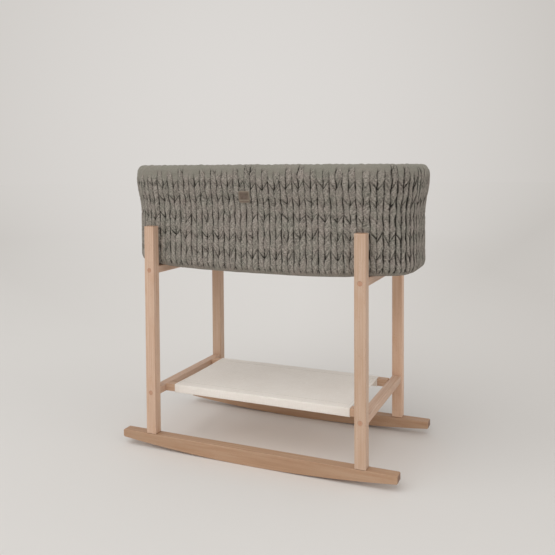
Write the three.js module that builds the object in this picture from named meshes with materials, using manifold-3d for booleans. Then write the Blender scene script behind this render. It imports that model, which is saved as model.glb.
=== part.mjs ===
// Baby cradle: a beech stand on two rockers, a canvas storage shelf between its cross rails,
// and a padded, smocked fabric basket that rests on the upper rails between the four posts.
// Millimetres, +Z up. X runs along the rockers, Y from front (-) to back (+). The origin is on
// the floor, midway between the rockers.

import * as THREE from 'three';
import { ConvexGeometry } from 'three/addons/geometries/ConvexGeometry.js';
import { mergeVertices } from 'three/addons/utils/BufferGeometryUtils.js';
import Module from 'manifold-3d';

const wasm = await Module();
wasm.setup();

// ---- Driving dimensions -----------------------------------------------------------------

const GAP = 0.3;                    // between pieces that touch
const PAST = 1;                     // how far a cutting tool runs past a face
const HIDDEN_SIDES = 10;            // facets of rods and holes inside the timber
const VISIBLE_SIDES = 24;

// Stand
const POST_SPACING = 650;           // centre to centre, along X
const STAND_DEPTH = 412.4;          // over the outer faces of the posts, along Y
const POST_X = 32.4;
const POST_Y = 26.8;
const POST_TOP = 663.3;
const EASE = 1.8;                   // rounding of the timber's edges

const ROCKER_LENGTH = 851;
const ROCKER_THICKNESS = 30.6;
const ROCKER_TOP = 44.3;
const ROCKER_RADIUS = 4088;         // of the arc that meets the floor
const ROCKER_FACETS = 21;           // odd, so that one flat facet lies on the floor
const ROCKER_END_ROUND = 3.2;

const RAIL_X = 26.8;                // cross rails between front and back post
const RAIL_HEIGHT = 22;
const LOWER_RAIL_BOTTOM = 157;
const UPPER_RAIL_BOTTOM = 522.4;

const SHELF_RAIL_Y = 24;            // long rails between the lower cross rails
const SHELF_RAIL_BOTTOM = 158.6;
const SHELF_FRONT = -150.6;         // outer face of the canvas on the front rail
const SHELF_BACK = 143.2;           // outer face of the canvas on the back rail
const CANVAS_THICKNESS = 1.2;
const CANVAS_LENGTH = 556;

// Fasteners
const PLUG_RADIUS = 6.6;
const PLUG_LENGTH = 6.4;
const PLUG_SUNK = 0.1;              // plug below the post's face
const COUNTERBORE_DEPTH = 11;
const BOLT_RADIUS = 3;
const BOLT_HEAD_RADIUS = 6;
const BOLT_HEAD_LENGTH = 3.6;
const BOLT_IN_RAIL = 26;
const NUT_RADIUS = 5;
const NUT_LENGTH = 13;
const NUT_FROM_RAIL_END = 18;
const SCREW_RADIUS = 3;
const SCREW_HEAD_RADIUS = 5.5;
const SCREW_HEAD_LENGTH = 4;
const SCREW_SUNK = 2;               // screw head below the rocker's underside
const SCREW_IN_POST = 36;
const SOCKET_RADIUS = 2.2;          // hexagon socket in a bolt's or screw's head
const SOCKET_DEPTH = 2;
const SOCKET_SIDES = 6;
const DOWEL_RADIUS = 4;
const DOWEL_IN_POST = 18;
const DOWEL_IN_ROCKER = 18;
const FOOT_OFFSET = 8;              // screw and dowel, to either side of the post's centre
const SHELF_DOWEL_LENGTH = 34;
const SHELF_DOWEL_IN_CROSS_RAIL = 15;

// Basket, all its layers offset from one rounded-rectangle plan
const PLAN_HALF_LENGTH = 442;
const PLAN_HALF_WIDTH = 178;
const PLAN_CORNER = 143;
const CORNER_STEPS = 7;
const BASKET_BOTTOM = UPPER_RAIL_BOTTOM + RAIL_HEIGHT + GAP;
const BASKET_TOP = 843.4;
const BOTTOM_ROUND_X = 28;          // rounding of the bottom edge: inwards, then upwards
const BOTTOM_ROUND_Z = 24;
const FLARE = 13;                   // how far the rim stands out past the wall
const FLARE_START = 705;
const FLARE_END = 812;
const COVER_THICKNESS = 6;
const FOLD_THICKNESS = 3;           // the cover where it is turned over the rim
const FOLD_BOTTOM = 800;
const PADDING_THICKNESS = 9.7;
const PANEL_THICKNESS = 3;
const LINING_THICKNESS = 1.8;
const BOARD_THICKNESS = 9;
const BOARD_CHAMFER_X = 7.6;        // along the board's lower edge
const BOARD_CHAMFER_Z = 3.2;
const PANEL_FROM_FLOOR = 4;         // lower edges of the wall's layers above the cover's floor
const PADDING_FROM_FLOOR = 10.4;
const RIM_SHOULDER = 822;           // where the rim's arched top begins
const RIM_CLEARANCE = 0.2;          // round the foam roll, for the facets of the arch over it
const PADDING_TAPER_X = 3;          // the padding's lower edge follows the cover's round
const PADDING_TAPER_Z = 10;
const COVER_INNER_FLARE_TOP = 802;  // the cover's inner face is a smooth slope up to here

// Mattress
const MATTRESS_THICKNESS = 42;
const MATTRESS_CLEARANCE = 4;
const MATTRESS_ROUND = 9;
const MATTRESS_COVER_THICKNESS = 1.6;
const MATTRESS_COVER_LIP = 45;      // how far the cover is turned in under the core

// Label
const LABEL_WIDTH = 34;
const LABEL_HEIGHT = 34;
const LABEL_THICKNESS = 1.6;
const LABEL_CORNER = 2;
const LABEL_GAP = 0.8;              // to the faceted slope behind it
const LABEL_X = -20;
const LABEL_Z = 753;

// ---- Materials --------------------------------------------------------------------------

const beech = new THREE.MeshStandardMaterial({ color: 0xc9a184, roughness: 0.55, metalness: 0 });
const beechEndGrain = new THREE.MeshStandardMaterial({ color: 0xb07a58, roughness: 0.6, metalness: 0 });
const steel = new THREE.MeshStandardMaterial({ color: 0x9a9da0, roughness: 0.35, metalness: 1 });
const canvas = new THREE.MeshStandardMaterial({ color: 0xd8d4cc, roughness: 0.9, metalness: 0 });
const smockedFabric = new THREE.MeshStandardMaterial({ color: 0x8a8478, roughness: 0.95, metalness: 0 });
const foam = new THREE.MeshStandardMaterial({ color: 0xe6e1d3, roughness: 1, metalness: 0 });
const fibreboard = new THREE.MeshStandardMaterial({ color: 0xa9845f, roughness: 0.8, metalness: 0 });
const cotton = new THREE.MeshStandardMaterial({ color: 0xe9e5dc, roughness: 0.95, metalness: 0 });
const leather = new THREE.MeshStandardMaterial({ color: 0x6f5546, roughness: 0.6, metalness: 0 });

// ---- Helpers ----------------------------------------------------------------------------

const cradle = new THREE.Group();

function addMesh(name, geometry, material) {
  const mesh = new THREE.Mesh(geometry, material);
  mesh.name = name;
  cradle.add(mesh);
  return mesh;
}

function toSolid(geometry) {
  const bare = geometry.clone();
  bare.deleteAttribute('normal');
  bare.deleteAttribute('uv');
  const merged = mergeVertices(bare, 1e-4);
  return new wasm.Manifold(new wasm.Mesh({
    numProp: 3,
    vertProperties: new Float32Array(merged.attributes.position.array),
    triVerts: new Uint32Array(merged.index.array),
  }));
}

function toGeometry(solid) {
  const mesh = solid.getMesh();
  const geometry = new THREE.BufferGeometry();
  geometry.setAttribute('position', new THREE.BufferAttribute(mesh.vertProperties, 3));
  geometry.setIndex(new THREE.BufferAttribute(mesh.triVerts, 1));
  geometry.computeVertexNormals();
  return geometry;
}

function drill(geometry, holes) {
  let solid = toSolid(geometry);
  for (const hole of holes) {
    solid = solid.subtract(toSolid(hole));
  }
  return toGeometry(solid);
}

// A bar with rounded edges between two corners: the hull of eight eased corners.
function easedBar(low, high) {
  const directions = [
    [1, 0, 0], [0, 1, 0], [0, 0, 1],
    [1, 1, 0], [1, 0, 1], [0, 1, 1], [1, 1, 1],
  ];
  const points = [];
  for (const sx of [-1, 1]) {
    for (const sy of [-1, 1]) {
      for (const sz of [-1, 1]) {
        const corner = new THREE.Vector3(
          sx > 0 ? high[0] - EASE : low[0] + EASE,
          sy > 0 ? high[1] - EASE : low[1] + EASE,
          sz > 0 ? high[2] - EASE : low[2] + EASE,
        );
        for (const [dx, dy, dz] of directions) {
          const outward = new THREE.Vector3(dx * sx, dy * sy, dz * sz).normalize();
          points.push(corner.clone().addScaledVector(outward, EASE));
        }
      }
    }
  }
  return new ConvexGeometry(points);
}

// A round rod from one point to another along an axis.
function rod(radius, from, to, sides = HIDDEN_SIDES) {
  const start = new THREE.Vector3(...from);
  const end = new THREE.Vector3(...to);
  const along = end.clone().sub(start);
  const geometry = new THREE.CylinderGeometry(radius, radius, along.length(), sides);
  const turn = new THREE.Quaternion().setFromUnitVectors(
    new THREE.Vector3(0, 1, 0),
    along.clone().normalize(),
  );
  geometry.applyQuaternion(turn);
  geometry.translate(...start.add(end).multiplyScalar(0.5).toArray());
  return geometry;
}

function smoothStep(low, high, value) {
  const t = Math.min(Math.max((value - low) / (high - low), 0), 1);
  return t * t * (3 - 2 * t);
}

// One ring of points: the basket's plan, grown by an offset, at a height.
function planRing(offset, height) {
  const radius = PLAN_CORNER + offset;
  const cornerX = PLAN_HALF_LENGTH - PLAN_CORNER;
  const cornerY = PLAN_HALF_WIDTH - PLAN_CORNER;
  const ring = [];
  const corners = [[1, 1], [-1, 1], [-1, -1], [1, -1]];
  corners.forEach(([sx, sy], quarter) => {
    for (let step = 0; step <= CORNER_STEPS; step += 1) {
      const angle = (quarter + step / CORNER_STEPS) * Math.PI / 2;
      ring.push([
        sx * cornerX + radius * Math.cos(angle),
        sy * cornerY + radius * Math.sin(angle),
        height,
      ]);
    }
  });
  return ring;
}

// A closed body swept through a list of [offset, height] stations of the plan. A loop's last
// station joins its first; otherwise both ends are closed with a flat face.
function planLoft(stations, isLoop) {
  const rings = stations.map(([offset, height]) => planRing(offset, height));
  const count = rings[0].length;
  const positions = rings.flat(2);
  const triangles = [];
  const bands = isLoop ? rings.length : rings.length - 1;
  for (let band = 0; band < bands; band += 1) {
    const here = band * count;
    const next = ((band + 1) % rings.length) * count;
    for (let i = 0; i < count; i += 1) {
      const j = (i + 1) % count;
      triangles.push(here + i, here + j, next + j, here + i, next + j, next + i);
    }
  }
  if (!isLoop) {
    const last = (rings.length - 1) * count;
    const centreFirst = positions.length / 3;
    positions.push(0, 0, stations[0][1]);
    const centreLast = centreFirst + 1;
    positions.push(0, 0, stations[stations.length - 1][1]);
    for (let i = 0; i < count; i += 1) {
      const j = (i + 1) % count;
      triangles.push(centreFirst, j, i, centreLast, last + i, last + j);
    }
  }
  const geometry = new THREE.BufferGeometry();
  geometry.setAttribute('position', new THREE.Float32BufferAttribute(positions, 3));
  geometry.setIndex(triangles);
  geometry.computeVertexNormals();
  return geometry;
}

// Stations along an elliptical arc, angles in degrees from the outward direction.
function arcStations(centre, radii, from, to, steps) {
  const stations = [];
  for (let step = 0; step <= steps; step += 1) {
    const angle = THREE.MathUtils.degToRad(from + (to - from) * step / steps);
    stations.push([
      centre[0] + radii[0] * Math.cos(angle),
      centre[1] + radii[1] * Math.sin(angle),
    ]);
  }
  return stations;
}

// How far the basket's outside stands out past its plan at a height.
function flareAt(height) {
  return FLARE * smoothStep(FLARE_START, FLARE_END, height);
}

function flareStations(depth, from, to, steps) {
  const stations = [];
  for (let step = 0; step <= steps; step += 1) {
    const height = from + (to - from) * step / steps;
    stations.push([flareAt(height) - depth, height]);
  }
  return stations;
}

// ---- Stand ------------------------------------------------------------------------------

const outerY = STAND_DEPTH / 2;
const innerY = outerY - POST_Y;
const postX = POST_SPACING / 2;
const sides = [['left', -1], ['right', 1]];
const ends = [['front', -1], ['back', 1]];
const levels = [['lower', LOWER_RAIL_BOTTOM], ['upper', UPPER_RAIL_BOTTOM]];
const railEndY = innerY - GAP;
const postBottom = ROCKER_TOP + GAP;

function rockerUnderside(x) {
  const halfFacet = ROCKER_LENGTH / ROCKER_FACETS / 2;
  const sagitta = (run) => ROCKER_RADIUS - Math.sqrt(ROCKER_RADIUS ** 2 - run ** 2);
  return Math.max(sagitta(x) - sagitta(halfFacet), 0);
}

// Side view of a rocker: a straight top, blunt rounded ends and an arc of flat facets below.
function rockerOutline() {
  const half = ROCKER_LENGTH / 2;
  const round = ROCKER_END_ROUND;
  const outline = new THREE.Shape();
  outline.moveTo(half - round, ROCKER_TOP);
  outline.lineTo(-half + round, ROCKER_TOP);
  outline.absarc(-half + round, ROCKER_TOP - round, round, Math.PI / 2, Math.PI, false);
  outline.lineTo(-half, rockerUnderside(half) + round);
  outline.lineTo(-half + round, rockerUnderside(half - round));
  for (let i = 1; i < ROCKER_FACETS; i += 1) {
    const x = (i / ROCKER_FACETS - 0.5) * ROCKER_LENGTH;
    outline.lineTo(x, rockerUnderside(x));
  }
  outline.lineTo(half - round, rockerUnderside(half - round));
  outline.lineTo(half, rockerUnderside(half) + round);
  outline.absarc(half - round, ROCKER_TOP - round, round, 0, Math.PI / 2, false);
  return outline;
}

function rockerGeometry(endSign) {
  const geometry = new THREE.ExtrudeGeometry(rockerOutline(), {
    depth: ROCKER_THICKNESS - 2 * EASE,
    curveSegments: 3,
    bevelEnabled: true,
    bevelThickness: EASE,
    bevelSize: EASE,
    bevelOffset: -EASE,
    bevelSegments: 2,
  });
  geometry.rotateX(Math.PI / 2);
  const outerFace = endSign * outerY;
  const farFace = outerFace - endSign * ROCKER_THICKNESS;
  geometry.translate(0, Math.max(outerFace, farFace) - EASE, 0);
  return geometry;
}

// Each rocker is drilled at both post feet: a screw from below on the inner side, a dowel on the
// outer side.
for (const [endName, endSign] of ends) {
  const footY = endSign * (outerY - POST_Y / 2);
  const footHoles = [];
  for (const [, sideSign] of sides) {
    const screwX = sideSign * (postX - FOOT_OFFSET);
    const dowelX = sideSign * (postX + FOOT_OFFSET);
    const headTop = rockerUnderside(screwX) + SCREW_SUNK + SCREW_HEAD_LENGTH;
    const below = [screwX, footY, -PAST];
    footHoles.push(rod(SCREW_RADIUS + GAP, below, [screwX, footY, ROCKER_TOP + PAST]));
    footHoles.push(rod(SCREW_HEAD_RADIUS + GAP, below, [screwX, footY, headTop + GAP]));
    footHoles.push(rod(
      DOWEL_RADIUS + GAP,
      [dowelX, footY, ROCKER_TOP - DOWEL_IN_ROCKER - GAP],
      [dowelX, footY, ROCKER_TOP + PAST],
    ));
  }
  addMesh(`rocker_${endName}`, drill(rockerGeometry(endSign), footHoles), beech);
}

// Screw and dowel that fasten a post's foot to the rocker. Returns the post's holes for them.
function fastenFoot(tag, sideSign, y) {
  const screwX = sideSign * (postX - FOOT_OFFSET);
  const dowelX = sideSign * (postX + FOOT_OFFSET);
  const headBottom = rockerUnderside(screwX) + SCREW_SUNK;
  const screwTop = postBottom + SCREW_IN_POST;
  const dowelTop = postBottom + DOWEL_IN_POST;
  const headTop = headBottom + SCREW_HEAD_LENGTH;
  const head = rod(SCREW_HEAD_RADIUS, [screwX, y, headBottom], [screwX, y, headTop]);
  const shank = rod(SCREW_RADIUS, [screwX, y, headBottom + SOCKET_DEPTH], [screwX, y, screwTop]);
  const socket = rod(
    SOCKET_RADIUS,
    [screwX, y, headBottom - PAST],
    [screwX, y, headBottom + SOCKET_DEPTH],
    SOCKET_SIDES,
  );
  const screw = toSolid(head).add(toSolid(shank)).subtract(toSolid(socket));
  addMesh(`foot_screw_${tag}`, toGeometry(screw), steel);
  addMesh(`foot_dowel_${tag}`,
    rod(DOWEL_RADIUS, [dowelX, y, ROCKER_TOP - DOWEL_IN_ROCKER], [dowelX, y, dowelTop]), beech);
  return [
    rod(SCREW_RADIUS + GAP, [screwX, y, ROCKER_TOP], [screwX, y, screwTop + GAP]),
    rod(DOWEL_RADIUS + GAP, [dowelX, y, ROCKER_TOP], [dowelX, y, dowelTop + GAP]),
  ];
}

// Plug, bolt and barrel nut that fasten a cross rail to a post, along Y from the post's outer
// face inwards. Returns the post's holes for them.
function fastenRail(name, x, z, endSign) {
  const along = (depth) => [x, endSign * (outerY - depth), z];
  const headBottom = COUNTERBORE_DEPTH - GAP;
  const headTop = headBottom - BOLT_HEAD_LENGTH;
  const head = rod(BOLT_HEAD_RADIUS, along(headTop), along(headBottom));
  const shank = rod(BOLT_RADIUS, along(headTop + SOCKET_DEPTH), along(POST_Y + BOLT_IN_RAIL));
  const socket = rod(SOCKET_RADIUS, along(headTop - PAST), along(headTop + SOCKET_DEPTH), SOCKET_SIDES);
  const bolt = toSolid(head).add(toSolid(shank)).subtract(toSolid(socket));
  addMesh(`bolt_${name}`, toGeometry(bolt), steel);

  const plug = rod(PLUG_RADIUS, along(PLUG_SUNK), along(PLUG_SUNK + PLUG_LENGTH), VISIBLE_SIDES);
  addMesh(`plug_${name}`, plug, beechEndGrain);

  const nutY = endSign * (railEndY - NUT_FROM_RAIL_END);
  const barrel = rod(NUT_RADIUS, [x, nutY, z - NUT_LENGTH / 2], [x, nutY, z + NUT_LENGTH / 2]);
  const thread = rod(BOLT_RADIUS + GAP, [x, nutY - 2 * NUT_RADIUS, z], [x, nutY + 2 * NUT_RADIUS, z]);
  addMesh(`barrel_nut_${name}`, toGeometry(toSolid(barrel).subtract(toSolid(thread))), steel);

  return [
    rod(BOLT_RADIUS + GAP, along(-PAST), along(POST_Y + PAST)),
    rod(PLUG_RADIUS + GAP, along(-PAST), along(COUNTERBORE_DEPTH), VISIBLE_SIDES),
  ];
}

for (const [endName, endSign] of ends) {
  for (const [sideName, sideSign] of sides) {
    const tag = `${endName}_${sideName}`;
    const x = sideSign * postX;
    const y = endSign * (outerY - POST_Y / 2);
    const holes = fastenFoot(tag, sideSign, y);
    for (const [levelName, railBottom] of levels) {
      holes.push(...fastenRail(`${levelName}_${tag}`, x, railBottom + RAIL_HEIGHT / 2, endSign));
    }
    const post = easedBar(
      [x - POST_X / 2, y - POST_Y / 2, postBottom],
      [x + POST_X / 2, y + POST_Y / 2, POST_TOP],
    );
    addMesh(`post_${tag}`, drill(post, holes), beech);
  }
}

// ---- Cross rails and shelf --------------------------------------------------------------

const shelfRails = [
  ['front', SHELF_FRONT + CANVAS_THICKNESS + GAP],
  ['back', SHELF_BACK - CANVAS_THICKNESS - GAP - SHELF_RAIL_Y],
];
const shelfRailEnd = postX - RAIL_X / 2 - GAP;
const shelfRailMiddle = SHELF_RAIL_BOTTOM + RAIL_HEIGHT / 2;
const shelfDowelStart = shelfRailEnd + GAP + SHELF_DOWEL_IN_CROSS_RAIL;

for (const [levelName, railBottom] of levels) {
  for (const [sideName, sideSign] of sides) {
    const centreX = sideSign * postX;
    const z = railBottom + RAIL_HEIGHT / 2;
    const holes = [];
    for (const endSign of [-1, 1]) {
      const nutY = endSign * (railEndY - NUT_FROM_RAIL_END);
      holes.push(rod(BOLT_RADIUS + GAP, [centreX, endSign * (railEndY + PAST), z],
        [centreX, endSign * (railEndY - BOLT_IN_RAIL - PAST), z]));
      holes.push(rod(NUT_RADIUS + GAP, [centreX, nutY, railBottom - PAST],
        [centreX, nutY, z + NUT_LENGTH / 2 + GAP]));
    }
    if (levelName === 'lower') {
      for (const [, railY] of shelfRails) {
        const y = railY + SHELF_RAIL_Y / 2;
        holes.push(rod(DOWEL_RADIUS + GAP, [sideSign * (shelfRailEnd - PAST), y, shelfRailMiddle],
          [sideSign * (shelfDowelStart + GAP), y, shelfRailMiddle]));
      }
    }
    const rail = easedBar(
      [centreX - RAIL_X / 2, -railEndY, railBottom],
      [centreX + RAIL_X / 2, railEndY, railBottom + RAIL_HEIGHT],
    );
    addMesh(`${levelName}_rail_${sideName}`, drill(rail, holes), beech);
  }
}

for (const [endName, railY] of shelfRails) {
  const y = railY + SHELF_RAIL_Y / 2;
  const dowelEnd = shelfDowelStart - SHELF_DOWEL_LENGTH;
  const holes = [];
  for (const [sideName, sideSign] of sides) {
    holes.push(rod(DOWEL_RADIUS + GAP, [sideSign * (shelfRailEnd + PAST), y, shelfRailMiddle],
      [sideSign * (dowelEnd - GAP), y, shelfRailMiddle]));
    addMesh(`shelf_dowel_${endName}_${sideName}`,
      rod(DOWEL_RADIUS, [sideSign * shelfDowelStart, y, shelfRailMiddle],
        [sideSign * dowelEnd, y, shelfRailMiddle]),
      beech);
  }
  const rail = easedBar(
    [-shelfRailEnd, railY, SHELF_RAIL_BOTTOM],
    [shelfRailEnd, railY + SHELF_RAIL_Y, SHELF_RAIL_BOTTOM + RAIL_HEIGHT],
  );
  addMesh(`shelf_rail_${endName}`, drill(rail, holes), beech);
}

// The canvas is one flat sheet with a sewn tunnel at each long edge for a shelf rail.
function canvasGeometry() {
  const wrap = CANVAS_THICKNESS + GAP;
  const top = SHELF_RAIL_BOTTOM + RAIL_HEIGHT + wrap;
  const bottom = SHELF_RAIL_BOTTOM - wrap;
  const tunnel = SHELF_RAIL_Y + 2 * wrap;
  const section = new THREE.Shape();
  section.moveTo(SHELF_FRONT, bottom);
  section.lineTo(SHELF_FRONT + tunnel, bottom);
  section.lineTo(SHELF_FRONT + tunnel, top - CANVAS_THICKNESS);
  section.lineTo(SHELF_BACK - tunnel, top - CANVAS_THICKNESS);
  section.lineTo(SHELF_BACK - tunnel, bottom);
  section.lineTo(SHELF_BACK, bottom);
  section.lineTo(SHELF_BACK, top);
  section.lineTo(SHELF_FRONT, top);
  section.closePath();
  for (const [, railY] of shelfRails) {
    const hole = new THREE.Path();
    hole.moveTo(railY - GAP, SHELF_RAIL_BOTTOM - GAP);
    hole.lineTo(railY - GAP, SHELF_RAIL_BOTTOM + RAIL_HEIGHT + GAP);
    hole.lineTo(railY + SHELF_RAIL_Y + GAP, SHELF_RAIL_BOTTOM + RAIL_HEIGHT + GAP);
    hole.lineTo(railY + SHELF_RAIL_Y + GAP, SHELF_RAIL_BOTTOM - GAP);
    hole.closePath();
    section.holes.push(hole);
  }
  const geometry = new THREE.ExtrudeGeometry(section, { depth: CANVAS_LENGTH, bevelEnabled: false });
  // The section's x and y become world Y and Z, and its depth becomes world X.
  geometry.applyMatrix4(new THREE.Matrix4().set(
    0, 0, 1, -CANVAS_LENGTH / 2,
    1, 0, 0, 0,
    0, 1, 0, 0,
    0, 0, 0, 1,
  ));
  return geometry;
}
addMesh('shelf_canvas', canvasGeometry(), canvas);

// ---- Basket -----------------------------------------------------------------------------

const innerFace = COVER_THICKNESS + PADDING_THICKNESS + PANEL_THICKNESS + LINING_THICKNESS + 3 * GAP;
const floorTop = BASKET_BOTTOM + COVER_THICKNESS;
const boardBottom = floorTop + GAP;
const boardTop = boardBottom + BOARD_THICKNESS;

// Outer cover: underside, rounded bottom edge, wall, flared rim turned over and inwards.
function coverGeometry() {
  const roundCentre = [-BOTTOM_ROUND_X, BASKET_BOTTOM + BOTTOM_ROUND_Z];
  const insideRound = [BOTTOM_ROUND_X - COVER_THICKNESS, BOTTOM_ROUND_Z - COVER_THICKNESS];
  const archCentre = (FLARE - innerFace) / 2;
  const archRadius = (FLARE + innerFace) / 2;
  const fold = innerFace - FOLD_THICKNESS;
  const insideCentre = (FLARE - COVER_THICKNESS - fold) / 2;
  const insideRadius = (FLARE - COVER_THICKNESS + fold) / 2;
  const insideTop = BASKET_TOP - COVER_THICKNESS;
  return planLoft([
    ...arcStations(roundCentre, [BOTTOM_ROUND_X, BOTTOM_ROUND_Z], -90, 0, 4),
    ...flareStations(0, FLARE_START, RIM_SHOULDER, 5),
    ...arcStations([archCentre, RIM_SHOULDER], [archRadius, BASKET_TOP - RIM_SHOULDER], 30, 180, 5),
    [-innerFace, FOLD_BOTTOM],
    [-fold, FOLD_BOTTOM],
    ...arcStations([insideCentre, RIM_SHOULDER], [insideRadius, insideTop - RIM_SHOULDER], 180, 0, 4),
    ...flareStations(COVER_THICKNESS, COVER_INNER_FLARE_TOP, FLARE_START, 3),
    ...arcStations(roundCentre, insideRound, 0, -90, 3),
  ], false);
}
addMesh('basket_cover', coverGeometry(), smockedFabric);

// Foam layer between the cover and the stiff wall.
function paddingGeometry() {
  const outer = COVER_THICKNESS + GAP;
  const inner = outer + PADDING_THICKNESS;
  const bottom = floorTop + PADDING_FROM_FLOOR;
  return planLoft([
    [-outer - PADDING_TAPER_X, bottom],
    [-outer, bottom + PADDING_TAPER_Z],
    ...flareStations(outer, FLARE_START, FOLD_BOTTOM - GAP, 3),
    [-inner, FOLD_BOTTOM - GAP],
    [-inner, bottom],
  ], true);
}
addMesh('wall_padding', paddingGeometry(), foam);

// Foam roll that gives the rim its round edge.
function rimGeometry() {
  const fold = innerFace - FOLD_THICKNESS - GAP;
  const outer = COVER_THICKNESS + GAP;
  const centre = (FLARE - outer - fold) / 2;
  const radius = (FLARE - outer + fold) / 2 - RIM_CLEARANCE;
  const rise = BASKET_TOP - COVER_THICKNESS - GAP - RIM_SHOULDER - RIM_CLEARANCE;
  return planLoft([
    [flareAt(FOLD_BOTTOM) - outer, FOLD_BOTTOM],
    [flareAt(FLARE_END) - outer - RIM_CLEARANCE, FLARE_END],
    ...arcStations([centre, RIM_SHOULDER], [radius, rise], 0, 180, 4),
    [-fold, FOLD_BOTTOM],
  ], true);
}
addMesh('rim_padding', rimGeometry(), foam);

const panelOuter = COVER_THICKNESS + PADDING_THICKNESS + 2 * GAP;
addMesh('wall_panel', planLoft([
  [-panelOuter, floorTop + PANEL_FROM_FLOOR],
  [-panelOuter, FOLD_BOTTOM - GAP],
  [-panelOuter - PANEL_THICKNESS, FOLD_BOTTOM - GAP],
  [-panelOuter - PANEL_THICKNESS, floorTop + PANEL_FROM_FLOOR],
], true), fibreboard);

const boardEdge = panelOuter + PANEL_THICKNESS + GAP;
addMesh('base_board', planLoft([
  [-boardEdge - BOARD_CHAMFER_X, boardBottom],
  [-boardEdge, boardBottom + BOARD_CHAMFER_Z],
  [-boardEdge, boardTop],
], false), fibreboard);

// Cotton lining: up the inside of the wall and across the board.
const liningOuter = boardEdge;
const liningInner = liningOuter + LINING_THICKNESS;
addMesh('basket_lining', planLoft([
  [-liningOuter, boardTop + GAP],
  [-liningOuter, FOLD_BOTTOM - GAP],
  [-liningInner, FOLD_BOTTOM - GAP],
  [-liningInner, boardTop + GAP + LINING_THICKNESS],
], false), cotton);

// Blank label patch, sewn flat on the sloping front under the rim.
function labelGeometry() {
  const half = LABEL_HEIGHT / 2;
  const slope = (flareAt(LABEL_Z + half) - flareAt(LABEL_Z - half)) / LABEL_HEIGHT;
  const outline = new THREE.Shape();
  const x = LABEL_WIDTH / 2 - LABEL_CORNER;
  const y = half - LABEL_CORNER;
  outline.absarc(x, y, LABEL_CORNER, 0, Math.PI / 2, false);
  outline.absarc(-x, y, LABEL_CORNER, Math.PI / 2, Math.PI, false);
  outline.absarc(-x, -y, LABEL_CORNER, Math.PI, 1.5 * Math.PI, false);
  outline.absarc(x, -y, LABEL_CORNER, 1.5 * Math.PI, 2 * Math.PI, false);
  const geometry = new THREE.ExtrudeGeometry(outline, {
    depth: LABEL_THICKNESS,
    curveSegments: 4,
    bevelEnabled: false,
  });
  geometry.rotateX(Math.PI / 2 + Math.atan(slope));
  const standOff = PLAN_HALF_WIDTH + flareAt(LABEL_Z) + LABEL_GAP;
  geometry.translate(LABEL_X, -standOff, LABEL_Z);
  return geometry;
}
addMesh('label_patch', labelGeometry(), leather);

// ---- Mattress ---------------------------------------------------------------------------

const mattressBottom = boardTop + LINING_THICKNESS + 2 * GAP;
const mattressTop = mattressBottom + MATTRESS_THICKNESS;
const mattressEdge = innerFace + MATTRESS_CLEARANCE;

// Stations around a cushion's rounded side, a depth inside the mattress's outer surface.
function mattressSide(depth, isDownwards) {
  const round = MATTRESS_ROUND - depth;
  const offset = -mattressEdge - MATTRESS_ROUND;
  const stations = [
    ...arcStations([offset, mattressBottom + MATTRESS_ROUND], [round, round], -90, 0, 2),
    ...arcStations([offset, mattressTop - MATTRESS_ROUND], [round, round], 0, 90, 2),
  ];
  return isDownwards ? stations.reverse() : stations;
}

addMesh('mattress_core', planLoft(mattressSide(MATTRESS_COVER_THICKNESS + GAP, false), false), foam);

// The cover is closed over the top and open underneath, inside its turned-in lip.
const lipOffset = -mattressEdge - MATTRESS_COVER_LIP;
addMesh('mattress_cover', planLoft([
  ...mattressSide(MATTRESS_COVER_THICKNESS, true),
  [lipOffset, mattressBottom + MATTRESS_COVER_THICKNESS],
  [lipOffset, mattressBottom],
  ...mattressSide(0, false),
], false), cotton);

export default cradle;
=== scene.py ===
"""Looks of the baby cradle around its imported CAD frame. Metres, +Z up, the front is -Y."""

import math

import bmesh
import bpy
import numpy as np
from mathutils import Matrix, Vector
from mathutils.bvhtree import BVHTree


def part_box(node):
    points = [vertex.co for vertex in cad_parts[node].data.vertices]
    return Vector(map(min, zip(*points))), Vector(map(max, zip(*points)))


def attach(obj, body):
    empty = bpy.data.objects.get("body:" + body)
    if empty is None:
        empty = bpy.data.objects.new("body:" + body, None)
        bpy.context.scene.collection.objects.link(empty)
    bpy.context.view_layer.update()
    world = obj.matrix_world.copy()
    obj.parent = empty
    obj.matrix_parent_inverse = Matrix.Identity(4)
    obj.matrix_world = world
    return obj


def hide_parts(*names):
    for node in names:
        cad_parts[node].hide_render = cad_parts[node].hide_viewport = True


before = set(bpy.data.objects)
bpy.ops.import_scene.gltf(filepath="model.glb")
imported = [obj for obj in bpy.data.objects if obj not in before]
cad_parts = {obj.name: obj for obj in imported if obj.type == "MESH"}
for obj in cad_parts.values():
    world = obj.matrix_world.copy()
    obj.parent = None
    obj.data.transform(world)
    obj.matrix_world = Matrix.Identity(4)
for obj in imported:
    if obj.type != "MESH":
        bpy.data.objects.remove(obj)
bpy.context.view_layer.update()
scene = bpy.context.scene
MM = 0.001

# ---- The basket's shape, as in its CAD nodes ----------------------------------------------

PLAN_HALF_LENGTH = 442 * MM
PLAN_HALF_WIDTH = 178 * MM
PLAN_CORNER = 143 * MM
BASKET_BOTTOM = 544.7 * MM
BASKET_TOP = 843.4 * MM
BOTTOM_ROUND_X = 28 * MM
BOTTOM_ROUND_Z = 24 * MM
FLARE = 13 * MM
FLARE_START = 705 * MM
FLARE_END = 812 * MM
RIM_SHOULDER = 822 * MM
INNER_FACE = 21.4 * MM
FOLD_BOTTOM = 800 * MM
FOLD_THICKNESS = 3 * MM
FOLD_FACE = INNER_FACE - FOLD_THICKNESS
RAIL_INNER_X = 311.6 * MM           # inner faces of the upper rails, which the basket rests on
RAIL_MIDDLE_X = 325 * MM

# ---- The smocked cover and the foam under it ----------------------------------------------

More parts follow.
